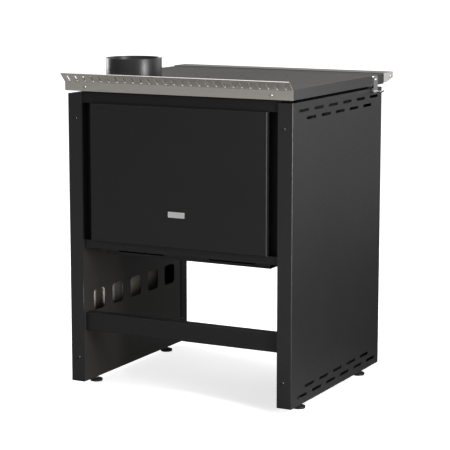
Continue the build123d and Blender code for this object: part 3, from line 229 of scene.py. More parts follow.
def solids_in(name):
    """The corner points of each separate solid of a CAD node."""
    copy = bmesh.new()
    copy.from_mesh(nodes[name].data)
    bmesh.ops.remove_doubles(copy, verts=copy.verts, dist=same_corner)
    seen = set()
    solids = []
    for start in copy.verts:
        if start in seen:
            continue
        seen.add(start)
        open_ends = [start]
        points = []
        while open_ends:
            point = open_ends.pop()
            points.append(point.co.copy())
            for edge in point.link_edges:
                other = edge.other_vert(point)
                if other not in seen:
                    seen.add(other)
                    open_ends.append(other)
        solids.append(points)
    copy.free()
    return solids


def corners_of(points):
    """The lowest and the highest corner of some points."""
    return (Vector([min(p[axis] for p in points) for axis in range(3)]),
            Vector([max(p[axis] for p in points) for axis in range(3)]))


def seats(places, ways):
    """A mesh with a point under each head, which knows the way that the head faces."""
    mesh = bpy.data.meshes.new("seats")
    mesh.from_pydata(places, [], [])
    outward = mesh.attributes.new("outward", "FLOAT_VECTOR", "POINT")
    for seat, way in zip(outward.data, ways):
        seat.vector = way
    return mesh


def screw_seats(name):
    """A seat under the head of each screw of a CAD node: the head is at its wider end."""
    places = []
    ways = []
    for points in solids_in(name):
        low, high = corners_of(points)
        middle = (low + high) / 2
        along = max(range(3), key=lambda axis: high[axis] - low[axis])
        widest = max(points, key=lambda p: ((p - middle).length ** 2 - (p - middle)[along] ** 2))
        way = Vector((0, 0, 0))
        way[along] = 1 if widest[along] > middle[along] else -1
        middle[along] = high[along] if way[along] > 0 else low[along]
        places.append(middle - way * head_height)
        ways.append(way)
    return seats(places, ways)


def heads(add, given, steps, recess=None):
    """A round head on every point: a disc raised and drawn in step by step."""
    disc = add("MeshCircle", {"Vertices": head_sides, "Radius": given["Head radius"]}, fill_type="NGON")
    head = disc
    top = True
    level, reach = 0, 1
    for height, radius in (*steps, recess) if recess else steps:
        if (height, radius) == recess:
            # the recess's rim takes its six lobes before its floor is sunk
            spot = add("InputPosition")
            parts = add("SeparateXYZ", {"Vector": spot}).node.outputs
            angle = add("Math", {0: parts["Y"], 1: parts["X"]}, operation="ARCTAN2")
            turns = add("Math", {0: angle, 1: lobe_count}, operation="MULTIPLY")
            wave = add("Math", {0: turns}, operation="COSINE")
            depth = add("Math", {0: wave, 1: lobe_depth}, operation="MULTIPLY")
            flat = add("CombineXYZ", {"X": parts["X"], "Y": parts["Y"]})
            shift = add("VectorMath", {"Vector": flat, "Scale": depth}, operation="SCALE")
            head = add("SetPosition", {"Geometry": head, "Selection": top, "Offset": shift})
        lift = add("Math", {0: given["Head height"], 1: height - level}, operation="MULTIPLY")
        raised = add("ExtrudeMesh",
                     {"Mesh": head, "Selection": top, "Offset Scale": lift, "Individual": False},
                     mode="FACES").node.outputs
        top = raised["Top"]
        head = add("ScaleElements", {"Geometry": raised["Mesh"], "Selection": top, "Scale": radius / reach},
                   domain="FACE")
        level, reach = height, radius
    base = add("FlipFaces", {"Mesh": disc})
    whole = add("JoinGeometry", {"Geometry": [head, base]})
    closed = add("MergeByDistance", {"Geometry": whole, "Distance": same_point})
    outward = add("InputNamedAttribute", {"Name": "outward"}, data_type="FLOAT_VECTOR")
    facing = add("AlignRotationToVector", {"Vector": outward}, axis="Z")
    return add("InstanceOnPoints", {"Points": given["Geometry"], "Instance": closed, "Rotation": facing})


def black_oxide():
    """Black oxide on steel: a hard dark conversion skin, worn to steel on the sharpest edges."""
    add, _, blotches = grained("black_oxide", (1.5, 3))
    sharpness = add("NewGeometry", give="Pointiness")
    worn = add("MapRange", {0: sharpness, 1: 0.52, 2: 0.62})
    return finished(add, ["#141415", (blotches, "#252527"), (worn, "#6c6a67")], 0.24, metallic=0.6)


column_screw = {"Head radius": 4.6 * mm, "Head height": head_height, "Finish": black_oxide()}
dress(column_screw["Finish"], "panel_screws", "foot_brackets")
fit("column_screw_heads",
    grown(heads, column_screw, screw_seats("panel_screws"), button_steps, recess_floor),
    "stove", "black_screw", "panel_screws")

# ---------------------------------------------------------------- feet
# Levelling feet: a pad of moulded black polyamide with a finger-grip rim, on a zinc plated
# M10 stud that screws into a tapped block inside the column and is held by a lock nut.
foot_names = ("foot_rear_left", "foot_rear_right", "foot_front_left", "foot_front_right")
upward = (0, 0, 1)
forward = (0, -1, 0)
stud_radius = 5
stud_sides = 20
stud_length = 21 * mm
crest_share = 0.36
nut_reach = 9.2
nut_height = 5
nut_gap = 0.5
pad_height = 9
grip_count = 20
grip_depth = 0.7
turned_edge = radians(32)


def axis_of(low, high, way):
    """Where a round thing's axis starts, and its radius and its length in mm."""
    foot = (Vector(low) + Vector(high)) / 2
    along = 2 if way == upward else 1
    foot[along] = low[2] if way == upward else high[1]
    return foot, (high[0] - low[0]) / 2 / mm, (high[along] - low[along]) / mm


def meshed(shape, sharp=None):
    """The mesh of a finished bmesh, smooth but for its sharp edges where an angle is given."""
    mesh = bpy.data.meshes.new("shape")
    shape.to_mesh(mesh)
    shape.free()
    if sharp:
        mesh.shade_smooth()
        mesh.set_sharp_from_angle(angle=sharp)
    return mesh


def turned(finish, profile, foot=(0, 0, 0), way=upward, sides=96, ridges=0, depth=0, closed=False):
    """A mesh turned about an axis from radii and heights in mm. Where a point of the profile
    says so, ridges run round its rim."""
    place = Matrix.Translation(foot) @ Vector(way).to_track_quat("Z", "Y").to_matrix().to_4x4()
    shape = bmesh.new()
    rings = []
    for radius, height, *ridged in profile:
        if radius == 0:
            rings.append([shape.verts.new(place @ Vector((0, 0, height * mm)))] * sides)
            continue
        ring = []
        for step in range(sides):
            angle = tau * step / sides
            reach = radius - (depth * (0.5 - 0.5 * cos(ridges * angle)) if ridged else 0)
            ring.append(shape.verts.new(
                place @ Vector((reach * cos(angle) * mm, reach * sin(angle) * mm, height * mm))))
        rings.append(ring)
    for low, high in zip(rings, rings[1:] + (rings[:1] if closed else [])):
        for step in range(sides):
            corners = (low[step], low[step - 1], high[step - 1], high[step])
            corners = [c for index, c in enumerate(corners) if c not in corners[:index]]
            if len(corners) > 2:
                shape.faces.new(corners)
    bmesh.ops.recalc_face_normals(shape, faces=shape.faces)
    return painted(meshed(shape, turned_edge), finish)


def merged(*meshes):
    """Several meshes as one, each with its own material."""
    materials = []
    shape = bmesh.new()
    for mesh in meshes:
        first = len(shape.faces)
        shape.from_mesh(mesh)
        shape.faces.ensure_lookup_table()
        if mesh.materials[0] not in materials:
            materials.append(mesh.materials[0])
        for face in shape.faces[first:]:
            face.material_index = materials.index(mesh.materials[0])
    whole = meshed(shape)
    for material in materials:
        whole.materials.append(material)
    return whole


def swept(add, path, sides, radius):
    """A round section swept along a path."""
    section = add("CurvePrimitiveCircle", {"Resolution": sides, "Radius": radius})
    return add("CurveToMesh", {"Curve": path, "Profile Curve": section, "Fill Caps": True})


def studs(add, given):
    """A threaded stud: a plain core with one ridge wound round it as a helix."""
    winds = add("Math", {0: given["Length"], 1: given["Pitch"]}, operation="DIVIDE")
    path = add("CurveSpiral",
               {"Resolution": stud_sides, "Rotations": winds, "Start Radius": given["Root radius"],
                "End Radius": given["Root radius"], "Height": given["Length"]})
    crest = add("Math", {0: given["Pitch"], 1: crest_share}, operation="MULTIPLY")
    rod = add("MeshCylinder",
              {"Vertices": stud_sides, "Radius": given["Root radius"], "Depth": given["Length"]})
    lift = add("Math", {0: given["Length"], 1: 0.5}, operation="MULTIPLY")
    rise = add("CombineXYZ", {"Z": lift})
    core = add("Transform", {"Geometry": rod, "Translation": rise})
    ridge = swept(add, path, 4, crest)
    return add("JoinGeometry", {"Geometry": [ridge, core]})


def zinc_plate(name):
    """Bright zinc plate on steel: bluish silver, with the faint cloudy spangle of the bath."""
    add, place, clouds = grained(name, (9, 4))
    spangle = add("TexVoronoi", {"Vector": place, "Scale": 1 / (5 * mm)}, "Color")
    return finished(add, ["#9a9ea1", (clouds, "#b7b6b0"), (0.12, spangle, "SOFT_LIGHT")],
                    (clouds, 0, 1, 0.28, 0.46), metallic=1.0)


def one_grain(name, grain, dark, light, rough, depth=0, **constants):
    """A finish whose colour, roughness range and bump, where it has them, follow one grain."""
    add, _, pattern = grained(name, grain)
    return finished(add, [dark, (pattern, light)],
                    (pattern, 0, 1, *rough) if isinstance(rough, tuple) else rough,
                    [(pattern, depth)] if depth else [], **constants)


# Injection moulded black polyamide: an even spark-eroded grain with a dull waxy sheen. The
# grain is drawn at 0.5 mm, coarser than it is, so that it shows.
pad_plastic = one_grain("moulded_black_polyamide", (0.5, 2), "#0f0f10", "#1a1a1b",
                        0.52, 0.03, ior=1.53, specular=0.4)
zinc = zinc_plate("bright_zinc_plate")
dress(zinc, "shield_standoffs")
stud_size = {"Length": stud_length, "Pitch": 1.5 * mm, "Root radius": 4.45 * mm, "Finish": zinc}
nut_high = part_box("left_side_panel")[0][2] / mm - nut_gap
nut_low = nut_high - nut_height
for name in foot_names:
    spot, rim, _ = axis_of(*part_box(name), upward)
    spot.z = 0
    pad = turned(pad_plastic, [
        (0, 0), (rim - 1.5, 0), (rim - 0.4, 0.4), (rim, 1.4), (rim, 1.6, True), (rim, 5.6, True),
        (rim - 0.2, 6.4), (rim - 2.2, 7.4), (rim - 6, 7.6), (stud_radius + 3.4, 7.8),
        (stud_radius + 2.4, pad_height), (0, pad_height)],
                 spot, sides=5 * grip_count, ridges=grip_count, depth=grip_depth)
    fit(f"{name}_pad", pad, name, "foot_black", name)
    stud = grown(studs, stud_size)
    stud.transform(Matrix.Translation((spot.x, spot.y, (pad_height - 0.5) * mm)))
    nut = turned(zinc, [
        (stud_radius - 0.2, nut_low), (nut_reach - 1.1, nut_low), (nut_reach, nut_low + 0.7),
        (nut_reach, nut_high - 0.7), (nut_reach - 1.1, nut_high), (stud_radius - 0.2, nut_high)],
        spot, sides=6, closed=True)
    fit(f"{name}_stud", merged(stud, nut), name, "zinc_steel")

# ---------------------------------------------------------------- body
# Floor, walls, back, rails, heat shield and air tray: sheet steel in a matt black powder,
# because nobody sees them when the stove stands against its wall.
black_powder = powder_coat("black_powder_coat", "#0f0e0e", "#141313", 0.5, 0.32)
dress(black_powder, "rear_stretcher", "body_floor", "heat_shield", "air_tray", "front_frame")
# a darker, duller copy of the black powder: painted shade, chiefly for the rail in the shadow under the
# guard
dress(powder_coat("shade_darkened_black_powder", "#0c0c0c", "#121212", 0.6, 0.25),
      "body_walls", "body_back", "rear_top_rail")

# ---------------------------------------------------------------- rating plate
# A small plate of satin aluminium on the shield, left bare, held by four tiny dome rivets. It
# is rubbed one way with fine grit: a soft white sheen with short hairlines, drawn 0.35 mm wide
# because real ones are too fine to show.
rivet_inset = 2.6 * mm
rivet_dome = ((0.35, 0.95), (0.65, 0.8), (0.88, 0.52), (1.0, 0.15))
plate_metal = one_grain("satin_aluminium_plate", (0.35, 3, (0.05, 1, 1)), "#d2d2d0", "#e6e6e4",
                        (0.36, 0.55), 0.006, metallic=1.0)
dress(plate_metal, "rating_plate")
plate_low, plate_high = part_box("rating_plate")
rivet_places = [(x, plate_high[1], z) for x in (plate_low[0] + rivet_inset, plate_high[0] - rivet_inset)
                for z in (plate_low[2] + rivet_inset, plate_high[2] - rivet_inset)]
rivet = {"Head radius": 1.3 * mm, "Head height": 0.7 * mm, "Finish": plate_metal}
fit("rating_plate_rivets",
    grown(heads, rivet, seats(rivet_places, [(0, 1, 0)] * len(rivet_places)), rivet_dome),
    "stove", "bare_plate")

# ---------------------------------------------------------------- firebox
# A box welded from 3 mm plate, lined with loose firebricks round a cast grate. Its steel has
# mill scale turned blue and straw by heat; the bricks are pressed vermiculite, sooty inside.
brick_edge = 2.5 * mm
brick_cuts = 24
brick_long_edge = 20 * mm
crumb_size = 9 * mm
crumb_depth = 2.4 * mm


def heat_tinted_steel():
    """Hot-rolled plate under mill scale: grey with slow straw and blue tempering colours."""
    add, _, slow, scale = grained("heat_tinted_mill_steel", (70, 4), (3, 5))
    temper = add("ValToRGB", {"Fac": slow})
    ramp = temper.node.color_ramp.elements
    ramp[0].position, ramp[0].color = 0.3, linear("#4d4b4a")
    ramp[1].position, ramp[1].color = 0.75, linear("#57606a")
    ramp.new(0.5).color = linear("#6e6455")
    return finished(add, [temper, (scale, "#8f8d8a", "MULTIPLY")], (scale, 0, 1, 0.4, 0.65),
                    [(scale, 0.05)], metallic=0.85)


def sand_cast_iron():
    """Iron cast in sand under heat-proof black: a pebbled skin, duller in its pits."""
    add, place, swirl = grained("heat_proof_black_iron", (40, 3))
    sand = add("TexNoise", {"Vector": place, "Scale": 1 / (1.3 * mm), "Detail": 4, "Roughness": 0.6})
    both = add("Math", {0: sand, 1: swirl}, operation="MULTIPLY")
    share = add("MapRange", {0: both, 1: 0.12, 2: 0.4})
    return finished(add, ["#1c1c1b", (share, "#2a2a28")], (sand, 0.3, 0.7, 0.66, 0.5),
                    [(sand, 0.11)], specular=0.45)


def sooty_firebrick():
    """Pressed vermiculite and fireclay: cream body, gold mica flakes, soot darker up the wall."""
    low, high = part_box("firebricks")
    add, place, grain, smoke = grained("sooty_firebrick", (1.2, 3), (60, 5))
    flakes = add("TexVoronoi", {"Vector": place, "Scale": 1 / (3.5 * mm)})
    height = add("SeparateXYZ", {"Vector": place}, "Z")
    rise = add("MapRange", {0: height, 1: low[2], 2: high[2], 3: -0.25, 4: 0.35})
    soot = add("Math", {0: smoke, 1: rise}, operation="ADD", use_clamp=True)
    return finished(add, ["#b79a6a", (flakes, "#d8c39c"), (grain, "#cdbfae", "MULTIPLY"),
                          (soot, "#3a332c")], 0.9, [(flakes, 0.4, 0.7)], specular=0.2)


def firebrick(low, high):
    """A brick with broken edges: a rounded block whose arrises crumble a little."""
    shape = bmesh.new()
    bmesh.ops.create_cube(shape, size=1)
    span = Vector(high) - Vector(low)
    for vert in shape.verts:
        vert.co = Vector([low[axis] + (vert.co[axis] + 0.5) * span[axis] for axis in range(3)])
    bmesh.ops.bevel(shape, geom=shape.edges[:], offset=brick_edge, segments=3, profile=0.6, affect="EDGES")
    bmesh.ops.subdivide_edges(shape, edges=[e for e in shape.edges if e.calc_length() > brick_long_edge],
                              cuts=brick_cuts, use_grid_fill=True)
    middle = (Vector(low) + Vector(high)) / 2
    for vert in shape.verts:
        # how near the point is to an arris: two of its distances to the faces are small
        gaps = sorted(min(vert.co[axis] - low[axis], high[axis] - vert.co[axis]) for axis in range(3))
        near = max(0, 1 - gaps[1] / (2 * brick_edge))
        crumbs = max(0, noise.noise(vert.co / crumb_size))
        vert.co += (middle - vert.co).normalized() * near * crumbs * crumb_depth
    bmesh.ops.recalc_face_normals(shape, faces=shape.faces)
    return painted(meshed(shape, radians(50)), brick_clay)


dress(heat_tinted_steel(), "firebox_shell", "bypass_frame", "bypass_flap", "ash_drawer_box")
stove_iron = sand_cast_iron()
dress(stove_iron, "fire_grate", "firebox_hinge_brackets", "oven_hinge_brackets",
      "firebox_door_frame", "ash_drawer_front", "oven_door_frame")
brick_clay = sooty_firebrick()
fit("crumbled_firebricks", merged(*[firebrick(*corners_of(points)) for points in solids_in("firebricks")]),
    "stove", "firebrick", "firebricks")

# ---------------------------------------------------------------- oven
# A liner folded from sheet and fired with dark vitreous enamel, which is glassy and has white
# flecks in it, with a zinc plated wire rack on its runners.


def vitreous_enamel():
    """Glass fused to steel: deep blue-grey, thick and wet-looking, with sprayed white flecks."""
    add, place, flow = grained("flecked_vitreous_enamel", (18, 2))
    dots = add("TexVoronoi", {"Vector": place, "Scale": 1 / (5 * mm)})
    fleck = add("MapRange", {0: dots, 1: 0.13, 2: 0.09})
    return finished(add, ["#22262c", (flow, "#2d3239"), (fleck, "#a9aeb2")], 0.16,
                    [(flow, 0.15)], ior=1.52)


dress(vitreous_enamel(), "oven_liner")
dress(zinc_plate("zinc_plated_wire"), "oven_rack", "bypass_rod", "glass_clips", "latch_keeper")

# ---------------------------------------------------------------- cooktop
# A frame of folded and welded plate: its skirts are sprayed like the columns, its borders and
# deck are ground. The hot plate, the two rings and the lid are grey iron, faced on a lathe.
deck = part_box("cooktop_frame")[1][2]
top_edge = 0.3 * mm
groove_pitch = 1.4 * mm


def ground_plate():
    """Plate ground flat and wiped with oil: warm grey, long scratches, slow oily clouds. The
    scratches are drawn 0.8 mm wide, because real ones are too fine to show. Below the top's
    edge the same piece carries the sprayed colour of the columns."""
    add, place, scratches, oil = grained("ground_cooktop_frame", (0.8, 3, (0.03, 1, 1)), (55, 5))
    blend = add("Mix", {0: 0.4, 2: oil, 3: scratches}, data_type="FLOAT")
    height = add("SeparateXYZ", {"Vector": place}, "Z")
    skirt = add("Math", {0: deck - top_edge, 1: height}, operation="GREATER_THAN")
    return finished(add, ["#383735", (blend, "#43413e"), (skirt, "#2a2a2b")],
                    (oil, 0.3, 0.7, 0.68, 0.8), [(scratches, 0.012)], specular=0.25)


def faced_iron():
    """Grey iron faced on a lathe: rings round the lid's centre, dulled by oil and heat. They
    are drawn 1.4 mm apart, wider than the tool leaves them, so that they show."""
    add, place, oil = grained("faced_grey_iron", (45, 5))
    lid = axis_of(*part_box("center_lid"), upward)[0]
    flat = add("Mapping", {"Vector": place, "Location": (-lid.x, -lid.y, 0), "Scale": (1, 1, 0)})
    reach = add("VectorMath", {0: flat}, give="Value", operation="LENGTH")
    turns = add("Math", {0: reach, 1: 1 / groove_pitch}, operation="MULTIPLY")
    grooves = add("TexNoise", {"W": turns, "Scale": 1, "Detail": 1}, noise_dimensions="1D")
    blend = add("Mix", {0: 0.45, 2: oil, 3: grooves}, data_type="FLOAT")
    return finished(add, ["#353432", (blend, "#42403d")], 0.72, [(grooves, 0.03)], specular=0.25)


dress(ground_plate(), "cooktop_frame")
dress(faced_iron(), "hot_plate", "outer_ring", "inner_ring", "center_lid")

# ---------------------------------------------------------------- rope seals
# Glass-fibre rope, three twisted strands pressed flat into a loop: one lies under the cooktop
# on the body's walls, one is glued round the fire opening on the back of the door.
rope_width = 8 * mm
rope_corner = 6 * mm
rope_step = 2.2 * mm
rope_lay = 11 * mm
strand_count = 3
strand_share = 0.29
stood_up = Matrix.Rotation(radians(90), 4, "X")


def rounded_frame(add, given, corner_count):
    """A rounded rectangle in the XY plane."""
    line = add("CurvePrimitiveQuadrilateral", {"Width": given["Width"], "Height": given["Height"]})
    return add("FilletCurve", {"Curve": line, "Count": corner_count, "Radius": given["Corner"]}, mode="POLY")


def rope_loop(add, given):
    """A flattened rope laid round a rounded rectangle."""
    path = add("ResampleCurve",
               {"Curve": rounded_frame(add, given, 6), "Length": given["Step"]}, mode="LENGTH")
    along = add("SplineParameter")
    tangent = add("InputTangent")
    across = add("VectorMath", {0: tangent, 1: upward}, operation="CROSS_PRODUCT")
    turns = add("Math", {0: along, 1: given["Twists"]}, operation="MULTIPLY")
    strands = []
    for index in range(strand_count):
        angle = add("Math", {0: turns, 1: tau, 2: tau * index / strand_count}, operation="MULTIPLY_ADD")
        swing = add("Math", {0: angle}, operation="COSINE")
        heave = add("Math", {0: angle}, operation="SINE")
        side = add("Math", {0: swing, 1: given["Half width"]}, operation="MULTIPLY")
        rise = add("Math", {0: heave, 1: given["Half height"]}, operation="MULTIPLY")
        sideways = add("VectorMath", {"Vector": across, "Scale": side}, operation="SCALE")
        lifted = add("CombineXYZ", {"Z": rise})
        shift = add("VectorMath", {0: sideways, 1: lifted}, operation="ADD")
        line = add("SetPosition", {"Geometry": path, "Offset": shift})
        strands.append(swept(add, line, 6, given["Strand radius"]))
    return add("JoinGeometry", {"Geometry": strands})


def rope_seal(low, high, upright=True):
    """A rope loop that fills a flat frame-shaped space between two corners."""
    tall_axis, thin_axis = (2, 1) if upright else (1, 2)
    thick = high[thin_axis] - low[thin_axis]
    wide = high[0] - low[0] - rope_width
    tall = high[tall_axis] - low[tall_axis] - rope_width
    strand = thick * strand_share
    mesh = grown(rope_loop, {
        "Width": wide, "Height": tall, "Corner": rope_corner, "Step": rope_step,
        "Twists": float(round(2 * (wide + tall) / rope_lay)), "Strand radius": strand,
        "Half width": rope_width / 2 - strand, "Half height": thick / 2 - strand, "Finish": rope_yarn})
    turn = stood_up if upright else Matrix.Identity(4)
    mesh.transform(Matrix.Translation((Vector(low) + Vector(high)) / 2) @ turn)
    return mesh


# Knitted glass-fibre yarn, graphite grey: dull, with short bright specks. Its filaments are too
# fine to show, so the specks are drawn at 0.6 mm.
rope_yarn = one_grain("glass_fibre_rope", (0.6, 3), "#4a4743", "#86827b", 0.85, 0.12,
                      specular=0.3, sheen=0.3)
dress(rope_yarn, "top_seal", "firebox_door_seal")
fit("cooktop_rope", rope_seal(*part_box("top_seal"), upright=False), "stove", "rope_seal", "top_seal")

# ---------------------------------------------------------------- flue collar
# A 152 mm tube rolled from 2 mm plate and welded to a flat ring, sprayed with gloss black
# heat enamel. Its upper rim is turned smooth, so that the first pipe slides over it.
flange_width = 16
flange_height = 3
tube_wall = 2
rim_round = 0.8
rim_cut = 0.25


def heat_enamel():
    """Heat-proof enamel sprayed on steel: black and glossy, with a long faint orange peel."""
    add, _, peel, dust = grained("gloss_heat_enamel", (8, 2), (1, 2))
    return finished(add, ["#161617", (peel, "#1d1d1f")], (dust, 0, 1, 0.28, 0.36),
                    [(peel, 0.04)], specular=0.4)


def weld_ring(add, given):
    """A weld bead: overlapping drops of metal in a ring."""
    ring = add("CurvePrimitiveCircle", {"Resolution": given["Drops"], "Radius": given["Ring radius"]})
    spots = add("CurveToPoints", {"Curve": ring, "Count": given["Drops"]}, mode="COUNT").node.outputs
    drop = add("MeshUVSphere", {"Segments": 8, "Rings": 5, "Radius": given["Drop radius"]})
    return add("InstanceOnPoints",
               {"Points": spots["Points"], "Instance": drop, "Rotation": spots["Rotation"]})


collar_enamel = heat_enamel()
collar_foot, flange, collar_length = axis_of(*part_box("flue_collar"), upward)
tube = flange - flange_width
bore = tube - tube_wall
ring_low = deck / mm - collar_foot.z / mm
ring_high = ring_low + flange_height
collar = turned(collar_enamel, [
    (bore, 0), (tube, 0), (tube, ring_low), (flange - 0.5, ring_low), (flange, ring_low + 0.5),
    (flange, ring_high - 0.7), (flange - 0.7, ring_high), (tube + 1.2, ring_high),
    (tube, ring_high + 1.2), (tube, collar_length - rim_round),
    (tube - rim_cut, collar_length - rim_cut), (tube - rim_round, collar_length),
    (bore + rim_round, collar_length), (bore + rim_cut, collar_length - rim_cut),
    (bore, collar_length - rim_round)], collar_foot, sides=128, closed=True)
collar_weld = grown(weld_ring, {"Drops": 120, "Ring radius": (tube + 0.6) * mm,
                                "Drop radius": 2.4 * mm, "Finish": collar_enamel})
collar_weld.transform(Matrix.Translation(collar_foot + Vector((0, 0, (ring_high + 0.3) * mm))))
fit("enamelled_flue_collar", merged(collar, collar_weld), "stove", "collar_enamel", "flue_collar")

# ---------------------------------------------------------------- rear guard and front rail
# Stainless strip with a row of slots along the back, and a hollow stainless profile along the
# front, both brushed lengthwise. The rail's ends are shut by die-cast caps in silver lacquer.


def brushed_stainless(name, stroke, dark, light, roughness):
    """Stainless brushed one way on a belt: long hairlines that stretch each reflection. They are
    drawn 0.7 mm wide, because real ones are too fine to show."""
    add, _, hairs, slow = grained(name, (0.7, 4, stroke), (12, 2, stroke))
    both = add("Math", {0: hairs, 1: slow}, operation="MULTIPLY")
    return finished(add, [dark, (hairs, light)], (both, 0.1, 0.4, roughness - 0.03, roughness + 0.04),
                    [(hairs, 0.008)], metallic=1.0)


def flake_lacquer():
    """Silver-grey lacquer on a die casting: aluminium flakes in a satin coat, an even skin. The
    flakes are drawn 0.9 mm wide, because real ones are too fine to show."""
    add, place, clouds = grained("silver_grey_lacquer", (14, 2))
    flakes = add("TexVoronoi", {"Vector": place, "Scale": 1 / (0.9 * mm)})
    blend = add("Mix", {0: 0.5, 2: flakes, 3: clouds}, data_type="FLOAT")
    return finished(add, ["#8b8986", (blend, "#9f9d99")], (flakes, 0, 1, 0.34, 0.48), specular=0.6)


dress(brushed_stainless("lengthwise_brushed_stainless", (0.02, 1, 1), "#b8b4ae", "#c3bfb9", 0.42),
      "rear_guard", "oven_handle_bar")
dress(brushed_stainless("brushed_rail_profile", (0.02, 1, 1), "#84817e", "#8e8b88", 0.4), "front_rail")
dress(flake_lacquer(), "rail_end_caps")
dress(zinc, "trim_screws")
fit("trim_screw_heads",
    grown(heads, column_screw | {"Finish": zinc}, screw_seats("trim_screws"), button_steps, recess_floor),
    "stove", "zinc_steel", "trim_screws")

# ---------------------------------------------------------------- tool hooks
# A small plate with a bent rod, one on each of the cooktop's skirts, for the poker: steel,
# polished and chrome plated.


def chrome_plate():
    """Chrome over polished nickel: a cold mirror with the faintest waves of hand polishing."""
    add, _, waves, film = grained("polished_chrome_plate", (10, 1), (2.5, 3))
    return finished(add, ["#dcdcda"], (film, 0, 1, 0.06, 0.16), [(waves, 0.05)], metallic=1.0)


dress(chrome_plate(), "tool_hooks")

# ---------------------------------------------------------------- firebox door
# A cast door with a raised bead round its window, ceramic glass behind it held by clips, and
# a rope seal glued to its back. It hangs on two loose-pin hinges and shuts with a turned latch.
bead_radius = 3 * mm
glass_lap = 10 * mm
window_corner = 6 * mm


def bead_loop(add, given):
    """A round bead round a rounded rectangle."""
    return swept(add, rounded_frame(add, given, 10), 16, given["Bead radius"])


def window_bead(pane, face_y):
    """The raised bead round a door's window, half sunk in its face."""
    low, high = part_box(pane)
    mesh = grown(bead_loop, {"Width": high[0] - low[0] - 2 * glass_lap + 3 * bead_radius,
                             "Height": high[2] - low[2] - 2 * glass_lap + 3 * bead_radius,
                             "Corner": window_corner + 1.5 * bead_radius, "Bead radius": bead_radius,
                             "Finish": stove_iron})
    middle = (Vector(low) + Vector(high)) / 2
    middle.y = face_y
    mesh.transform(Matrix.Translation(middle) @ stood_up)
    return mesh


# Transparent glass ceramic: clear with a weak amber cast, and a thin smoky film inside.
door_glass = one_grain("ceramic_glass", (45, 4), "#f2ede2", "#d3cbbc", (0.01, 0.06), ior=1.54, clear=1.0)
dress(door_glass, "firebox_door_glass", "oven_door_glass")
fit("fire_window_bead", window_bead("firebox_door_glass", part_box("firebox_door_frame")[0][1]),
    "firebox_door", "stove_black")
fit("fire_door_rope", rope_seal(*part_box("firebox_door_seal")), "firebox_door", "rope_seal",
    "firebox_door_seal")

# ---------------------------------------------------------------- latch
# A spindle and a flat brushed lever, with a handle of ribbed black phenolic pressed on its
# tail, because it stays cool enough to touch.
rib_radius = 0.9
rib_margin = 9
spindle_radius = 3.05


def ribs(add, given):
    """A stack of raised rings up the Z axis."""
    fewer = add("Math", {0: given["Ribs"], 1: 1.0}, operation="SUBTRACT")
    gap = add("Math", {0: given["Span"], 1: fewer}, operation="DIVIDE")
    step = add("CombineXYZ", {"Z": gap})
    spots = add("MeshLine", {"Count": given["Ribs"], "Offset": step})
    ring = add("CurvePrimitiveCircle", {"Resolution": 48, "Radius": given["Ring radius"]})
    rib = swept(add, ring, 10, given["Rib radius"])
    return add("InstanceOnPoints", {"Points": spots, "Instance": rib})


# Black phenolic pressed in a hot mould: hard, nearly smooth and softly glossy.
phenolic = one_grain("moulded_black_phenolic", (4, 4), "#121212", "#1d1c1c", (0.42, 0.56),
                     ior=1.6, specular=0.3)
grip_foot, grip_radius, grip_length = axis_of(*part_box("latch_grip"), upward)
waist = grip_radius - rib_radius
grip = turned(phenolic, [
    (spindle_radius, 0), (waist - 3, 0), (waist - 1, 0.8), (waist, 3), (waist, grip_length - 3),
    (waist - 1, grip_length - 0.8), (waist - 3, grip_length), (spindle_radius, grip_length)],
              grip_foot, sides=64, closed=True)
grip_ribs = grown(ribs, {"Ribs": 12, "Span": (grip_length - 2 * rib_margin) * mm,
                         "Ring radius": waist * mm, "Rib radius": rib_radius * mm, "Finish": phenolic})
grip_ribs.transform(Matrix.Translation(grip_foot + Vector((0, 0, rib_margin * mm))))
fit("ribbed_latch_grip", merged(grip, grip_ribs), "firebox_latch", "grip_black", "latch_grip")
dress(brushed_stainless("upright_brushed_stainless", (1, 1, 0.02), "#918e89", "#a8a59f", 0.36),
      "latch_lever")

# ---------------------------------------------------------------- knobs
# The ash drawer's knob, the airwash slider's knob and the soot cover's screws are turned from
# stainless bar. The drawer's knob and the screws are knurled straight, the slider's is smooth.
knurl_depth = 0.45
drawer_knob_head = 18
soot_screw_head = 14
# Stainless fresh from the lathe: bright, with feed marks too fine to show, drawn at 0.5 mm.
knob_metal = one_grain("turned_stainless", (0.5, 2, (0.05, 1, 0.05)), "#9c9994", "#b4b1ac",
                       (0.2, 0.36), 0.006, metallic=1.0)
dress(knob_metal, "ash_drawer_knob", "air_slider", "oven_handle_posts", "oven_thermometer",
      "soot_cover_screws")
foot, radius, reach = axis_of(*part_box("ash_drawer_knob"), forward)
neck = reach - drawer_knob_head
fit("knurled_drawer_knob", turned(knob_metal, [
    (0, 0), (6, 0), (5, 1.5), (5, neck - 3), (6, neck), (radius - 1, neck), (radius, neck + 1),
    (radius, neck + 2), (radius, neck + 2.2, True), (radius, reach - 6, True),
    (radius, reach - 5.8), (radius - 0.6, reach - 3.2), (radius - 2.4, reach - 1),
    (radius - 5, reach), (radius - 6, reach - 0.3), (0, reach - 0.9)],
                                  foot, forward, sides=200, ridges=50, depth=knurl_depth),
    "ash_drawer", "brushed_stainless", "ash_drawer_knob")
soot_screws = []
for points in solids_in("soot_cover_screws"):
    foot, radius, reach = axis_of(*corners_of(points), forward)
    neck = reach - soot_screw_head
    soot_screws.append(turned(knob_metal, [
        (0, 0), (3, 0), (3, neck), (5.5, neck), (5.5, neck + 2), (radius - 0.8, neck + 2),
        (radius, neck + 2.8), (radius, neck + 3, True), (radius, reach - 2.2, True),
        (radius, reach - 2), (radius - 1.4, reach), (3, reach), (0, reach - 0.6)],
                              foot, forward, sides=144, ridges=36, depth=knurl_depth))
fit("knurled_soot_screws", merged(*soot_screws), "soot_cover", "brushed_stainless", "soot_cover_screws")
dress(black_powder, "soot_cover")

